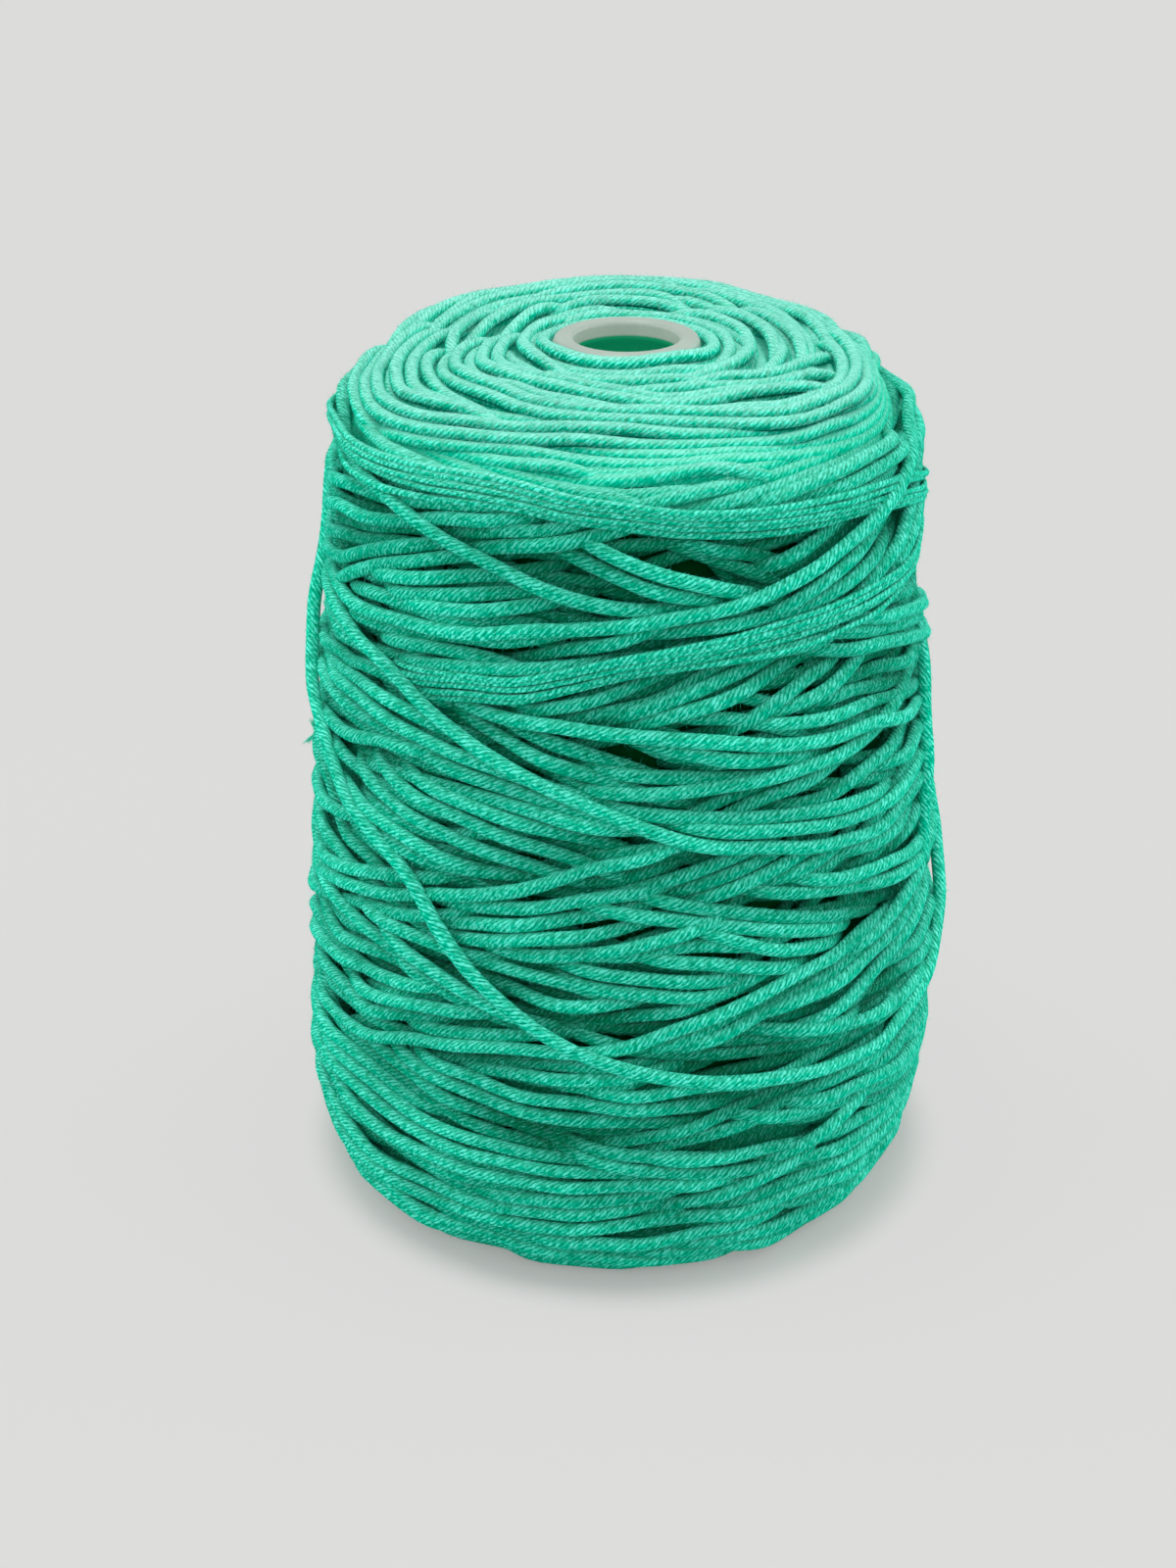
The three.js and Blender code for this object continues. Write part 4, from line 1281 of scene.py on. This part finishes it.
def fibre_mesh(name, roots, heads, flats, length, width, level, rng):
    """Thin fibres, each a slim triangle."""
    wide = flats * (width / 2 / np.maximum(np.linalg.norm(flats, axis=1), 1e-9))[:, None]
    points = np.stack((roots - wide, roots + wide, roots + heads * length[:, None]), 1).reshape(-1, 3)
    points[:, 2] = np.maximum(points[:, 2], 0.05)
    faces = np.arange(len(points)).reshape(-1, 3)
    tone = np.repeat(rng.random(len(roots)), 3)
    return mesh_object(name, points, [faces], smooth=False, tone=tone, level=np.repeat(level, 3))


# ---- the pieces ---------------------------------------------------------------------------------------
FRONT = 1.5           # turns whose mean azimuth is nearer than this are the front ones
INNER_FROM, INNER_EVERY = 16, 8       # the outline's samples that the inner mass follows
INNER_FOOT, INNER_CLEAR = 1.2, 0.4    # its height over the floor, and its distance from the tube
INNER_DEGREES = 3


class Build:
    """What the operators hand on to each other: the wound surface, the turns laid and the yarn's material."""

    winding = None
    shown = []
    yarn = None


class YARNCONE_OT_dress_tube(bpy.types.Operator):
    """Give the moulded tube its finish"""

    bl_idname = "yarncone.dress_tube"
    bl_label = "Dress the tube"

    def execute(self, context):
        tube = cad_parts[TUBE_NODE]
        tube.data.materials.clear()
        tube.data.materials.append(moulded_polypropylene())
        return {"FINISHED"}


class YARNCONE_OT_wind_inner(bpy.types.Operator):
    """Make the solid mass of turns that lies round the tube, under all the others"""

    bl_idname = "yarncone.wind_inner"
    bl_label = "Wind the inner turns"

    depth: FloatProperty(
        name="Depth", description="Depth under the crest line, in mm", default=10.0, min=3, max=16,
    )

    def execute(self, context):
        Build.yarn = spun_acrylic("spun acrylic yarn", sizes().plies, sizes().lead, 0.3)
        taper = (TUBE_FOOT_RADIUS - TUBE_NOSE_RADIUS) / TUBE_HEIGHT
        pick = np.arange(INNER_FROM, len(REACHES) - 2, INNER_EVERY)
        radius = RADII[pick] - OUT_RADIAL[pick] * self.depth
        height = np.maximum(HEIGHTS[pick] - OUT_UP[pick] * self.depth, INNER_FOOT)
        levels = np.linspace(INNER_FOOT, height[0], 12)
        bore = [(TUBE_FOOT_RADIUS - taper * z + INNER_CLEAR, z) for z in levels]
        section = np.concatenate((np.column_stack((radius, height)), bore))
        count, around = len(section), np.radians(np.arange(0, 360, INNER_DEGREES))
        azimuth = np.repeat(around, count)
        radius, height = np.tile(section[:, 0], len(around)), np.tile(section[:, 1], len(around))
        points = settled(np.column_stack((radius * np.sin(azimuth), -radius * np.cos(azimuth), height)))
        i = np.arange(len(around))[:, None] * count
        j, k = np.arange(count), (np.arange(count) + 1) % count
        after = (i + count) % (count * len(around))
        faces = np.stack((i + j, i + k, after + k, after + j), -1).reshape(-1, 4)
        column = np.arange(len(around))[:, None, None] + [0, 0, 1, 1]
        column = np.broadcast_to(column, (len(around), count, 4))
        u = column.ravel() * math.radians(INNER_DEGREES) * MEAN_RADIUS
        uvs = np.stack((u, (faces.ravel() % count) * 0.37), -1)
        # The whole inner mass is given full painted shade.
        inner = mesh_object(
            "inner_turns", points, [faces], uvs, tone=np.zeros(len(points)), sunk=np.ones(len(points)),
        )
        dressed(inner, Build.yarn)
        return {"FINISHED"}


class YARNCONE_OT_wind_outer(bpy.types.Operator):
    """Lay the outer turns as they show, and join them round the back"""

    bl_idname = "yarncone.wind_outer"
    bl_label = "Wind the outer turns"

    def execute(self, context):
        rng = np.random.default_rng(SEED)
        winding = Winding(rng)
        azimuth, reach, clear = through(LONG_TURNS[SLACK_TURN])
        # The slack turn hangs clear of the others and presses on none, so it is laid over a map of its own.
        slack = Winding(np.random.default_rng(SEED)).lay(
            azimuth, reach, sizes().radius, freedom=0, clear=clear + SLACK_CLEAR, sinks=(SINK, SINK),
        )
        yarn_piece("slack_turn", [slack], Build.yarn, sides=14, stride=1, seed=9)
        outer, singles = wind_outer_turns(winding, rng)
        front = [turn for turn in outer if abs(turn.azimuth.mean()) < FRONT]
        back = [turn for turn in outer if abs(turn.azimuth.mean()) >= FRONT]
        yarn_piece("outer_turns_front", front, Build.yarn, sides=10, stride=2, seed=6)
        yarn_piece("outer_turns_back", back, Build.yarn, sides=10, stride=2, seed=7)
        single = spun_acrylic("spun acrylic single", 3, 4.5, 0.25)
        yarn_piece("open_turns", singles, single, sides=8, stride=1, seed=8)
        top = wind_top_turns(winding, rng)
        yarn_piece("top_turns", top, Build.yarn, sides=10, stride=2, seed=5)
        fill = [turn for row in FILLING for turn in fill_gaps(winding, rng, *row)]
        deep = [turn for row in FILLING_DEEP for turn in fill_gaps(winding, rng, *row)]
        yarn_piece("filling_turns", fill, Build.yarn, sides=9, stride=2, seed=10)
        yarn_piece("filling_turns_deep", deep, Build.yarn, sides=6, stride=2, seed=10)
        Build.winding, Build.shown = winding, [slack] + outer + top + singles + fill + deep
        return {"FINISHED"}


class YARNCONE_OT_wind_under(bpy.types.Operator):
    """Wind the cross-wound turns that show between the outer ones"""

    bl_idname = "yarncone.wind_under"
    bl_label = "Wind the under turns"

    def execute(self, context):
        turns = wind_under_turns(Build.winding, np.random.default_rng(SEED + 1))
        half = len(turns) // 2
        yarn_piece("under_turns_high", turns[:half], Build.yarn, sides=8, stride=2, seed=4)
        yarn_piece("under_turns_deep", turns[half:], Build.yarn, sides=6, stride=2, seed=3)
        return {"FINISHED"}


class YARNCONE_OT_raise_fibres(bpy.types.Operator):
    """Raise the loose fibres of the nap"""

    bl_idname = "yarncone.raise_fibres"
    bl_label = "Raise the fibres"

    def execute(self, context):
        rng = np.random.default_rng(SEED + 3)
        weights = np.array([seen_weight(turn).sum() * turn.radius for turn in Build.shown])
        picks = rng.choice(len(Build.shown), sizes().fibres, p=weights / weights.sum())
        parts = [
            raised_fibres(Build.shown[index], number, rng)
            for index, number in zip(*np.unique(picks, return_counts=True))
        ]
        parts += [frayed_end(*end) for end in FRAYED_ENDS]
        fibres = [np.concatenate(v) for v in zip(*parts)]
        material = loose_fibre("raised acrylic fibre")
        for k, part in enumerate(np.array_split(rng.permutation(len(fibres[0])), FIBRE_PIECES)):
            dressed(fibre_mesh(f"raised_fibres_{k + 1}", *(v[part] for v in fibres), rng), material)
        return {"FINISHED"}


# ---- the stage, in metres -----------------------------------------------------------------------------
# Each lamp's name, place, size and power. They all aim at the middle of the cone.
LAMPS = (
    ("lamp_over", (-0.05, 0.05, 1.1), 0.9, 6.8),
    ("lamp_left", (-1.1, 0.05, 0.45), 2.0, 14.2),
    ("lamp_right", (1.1, 0.05, 0.45), 2.0, 16.4),
    ("lamp_front", (-0.1, -1.3, 0.9), 1.2, 6.7),
)
LAMP_AIM = (0.0, 0.0, 0.1)
SKY = 0.39
CAMERA_AT, CAMERA_DOWN = (-0.0084, -0.537, 0.356), 26.0
SWEEP_FRONT, SWEEP_BACK, SWEEP_HIGH, SWEEP_BEND, SWEEP_HALF = -3.0, 1.4, 3.0, 0.9, 3.0
NEAR_TO_FAR = (0.1, 0.9)          # distances between which the sweep's shadow fades
FOOT_SHADE = (0.070, 0.081)       # distances between which the deep shadow at the foot ends


def seen_rays(tree):
    """1 for the rays that the camera, metal and glass see the backdrop by, and 0 for those that light it."""
    path = add(tree, "ShaderNodeLightPath")
    straight = add(
        tree, "ShaderNodeMath", {"operation": "ADD"},
        links={0: path.outputs["Is Camera Ray"], 1: path.outputs["Is Glossy Ray"]},
    )
    return add(
        tree, "ShaderNodeMath", {"operation": "ADD", "use_clamp": True},
        links={0: straight.outputs[0], 1: path.outputs["Is Transmission Ray"]},
    )


def painted_sweep(colour):
    """Matt painted board under and behind the cone. It is even, and keeps the cone's soft shadow."""
    material, tree, output = new_material("matt painted sweep")
    where = add(tree, "ShaderNodeTexCoord").outputs["Object"]
    noise = add(tree, "ShaderNodeTexNoise", inputs={"Scale": 2.0, "Detail": 2.0}, links={"Vector": where})
    level = add(
        tree, "ShaderNodeMapRange", inputs=span(0.3, 0.7, 0.74, 0.76), links={"Value": noise.outputs["Fac"]},
    )
    paint = add(
        tree, "ShaderNodeMix", TINT, {"Factor": 1.0, 6: rgba(colour)}, {7: level.outputs["Result"]},
    )
    board = add(
        tree, "ShaderNodeBsdfPrincipled", inputs={"Roughness": 0.9, "Specular IOR Level": 0.1},
        links={"Base Color": paint.outputs[2]},
    )
    plain = add(tree, "ShaderNodeEmission", inputs={"Color": rgba(colour), "Strength": 1.0})
    # The camera, and metal and glass, see the plain colour: all of it far away, most of it round the cone and
    # less than half of it right at the foot, where the shadow is deep.
    away = add(tree, "ShaderNodeVectorMath", {"operation": "LENGTH"}, links={0: where}).outputs["Value"]
    share = add(tree, "ShaderNodeMapRange", SMOOTH_STEP, span(*NEAR_TO_FAR, 0.87, 1.0), {"Value": away})
    foot = add(tree, "ShaderNodeMapRange", SMOOTH_STEP, span(*FOOT_SHADE, 0.4, 1.0), {"Value": away})
    near = add(
        tree, "ShaderNodeMath", MULTIPLY, links={0: foot.outputs["Result"], 1: share.outputs["Result"]},
    )
    seen = add(tree, "ShaderNodeMath", MULTIPLY, links={0: seen_rays(tree).outputs[0], 1: near.outputs[0]})
    both = add(
        tree, "ShaderNodeMixShader",
        links={0: seen.outputs[0], 1: board.outputs["BSDF"], 2: plain.outputs["Emission"]},
    )
    tree.links.new(both.outputs["Shader"], output.inputs["Surface"])
    return material


class YARNCONE_OT_set_stage(bpy.types.Operator):
    """Set the floor, the lamps, the world and the camera"""

    bl_idname = "yarncone.set_stage"
    bl_label = "Set the stage"

    def execute(self, context):
        look = context.scene.stage_look
        self.sweep(look)
        self.world(context.scene, look)
        for lamp in LAMPS:
            self.lamp(*lamp)
        camera = bpy.data.objects.new("camera", bpy.data.cameras.new("camera"))
        camera.data.lens = look.lens
        camera.location = CAMERA_AT
        camera.rotation_euler = (math.radians(90 - CAMERA_DOWN), 0, 0)
        camera.data.clip_start = 0.05
        context.scene.collection.objects.link(camera)
        context.scene.camera = camera
        context.scene.view_settings.view_transform = "Standard"
        return {"FINISHED"}

    @staticmethod
    def sweep(look):
        turn = np.linspace(0, math.pi / 2, 16)
        bend = zip(SWEEP_BACK + SWEEP_BEND * np.sin(turn), SWEEP_BEND * (1 - np.cos(turn)))
        line = [(SWEEP_FRONT, 0.0), *bend, (SWEEP_BACK + SWEEP_BEND, SWEEP_HIGH)]
        points = np.array([(x, y, z) for y, z in line for x in (-SWEEP_HALF, SWEEP_HALF)]) / MM
        i = np.arange(len(line) - 1)[:, None] * 2
        floor = mesh_object("floor_sweep", points, [i + [0, 1, 3, 2]])
        floor.data.materials.append(painted_sweep(look.backdrop))

    @staticmethod
    def world(scene, look):
        world = bpy.data.worlds.new("soft studio")
        world.use_nodes = True
        scene.world = world
        tree = world.node_tree
        tree.nodes.clear()
        sky = add(tree, "ShaderNodeBackground", inputs={"Color": (1.0, 1.0, 1.0, 1.0), "Strength": SKY})
        plain = add(tree, "ShaderNodeBackground", inputs={"Color": rgba(look.backdrop), "Strength": 1.0})
        both = add(
            tree, "ShaderNodeMixShader",
            links={0: seen_rays(tree).outputs[0], 1: sky.outputs[0], 2: plain.outputs[0]},
        )
        add(tree, "ShaderNodeOutputWorld", links={"Surface": both.outputs[0]})

    @staticmethod
    def lamp(name, at, size, power):
        data = bpy.data.lights.new(name, "AREA")
        data.shape, data.size, data.energy = "DISK", size, power
        lamp = bpy.data.objects.new(name, data)
        lamp.location = at
        lamp.rotation_mode = "QUATERNION"
        lamp.rotation_quaternion = Vector(np.array(LAMP_AIM) - np.array(at)).to_track_quat("-Z", "Y")
        bpy.context.scene.collection.objects.link(lamp)


class YARNCONE_PT_panel(bpy.types.Panel):
    """The steps of winding a cone of yarn"""

    bl_idname = "YARNCONE_PT_panel"
    bl_label = "Yarn cone"
    bl_space_type = "VIEW_3D"
    bl_region_type = "UI"
    bl_category = "Yarn cone"

    def draw(self, context):
        for group in (context.scene.yarn_sizes, context.scene.tube_finish, context.scene.stage_look):
            box = self.layout.box()
            for name in group.bl_rna.properties.keys():
                if name not in ("rna_type", "name"):
                    box.prop(group, name)
        for operator in OPERATORS:
            self.layout.operator(operator.bl_idname)


GROUPS = {"yarn_sizes": YarnSizes, "tube_finish": TubeFinish, "stage_look": StageLook}
OPERATORS = (
    YARNCONE_OT_set_stage, YARNCONE_OT_dress_tube, YARNCONE_OT_wind_inner, YARNCONE_OT_wind_outer,
    YARNCONE_OT_wind_under, YARNCONE_OT_raise_fibres,
)


def register():
    for part in (*GROUPS.values(), *OPERATORS, YARNCONE_PT_panel):
        bpy.utils.register_class(part)
    for name, group in GROUPS.items():
        setattr(bpy.types.Scene, name, PointerProperty(type=group))


def unregister():
    for name in GROUPS:
        delattr(bpy.types.Scene, name)
    for part in reversed((*GROUPS.values(), *OPERATORS, YARNCONE_PT_panel)):
        bpy.utils.unregister_class(part)


def main():
    register()
    for operator in OPERATORS:
        group, name = operator.bl_idname.split(".")
        getattr(getattr(bpy.ops, group), name)()


if __name__ == "__main__":
    main()
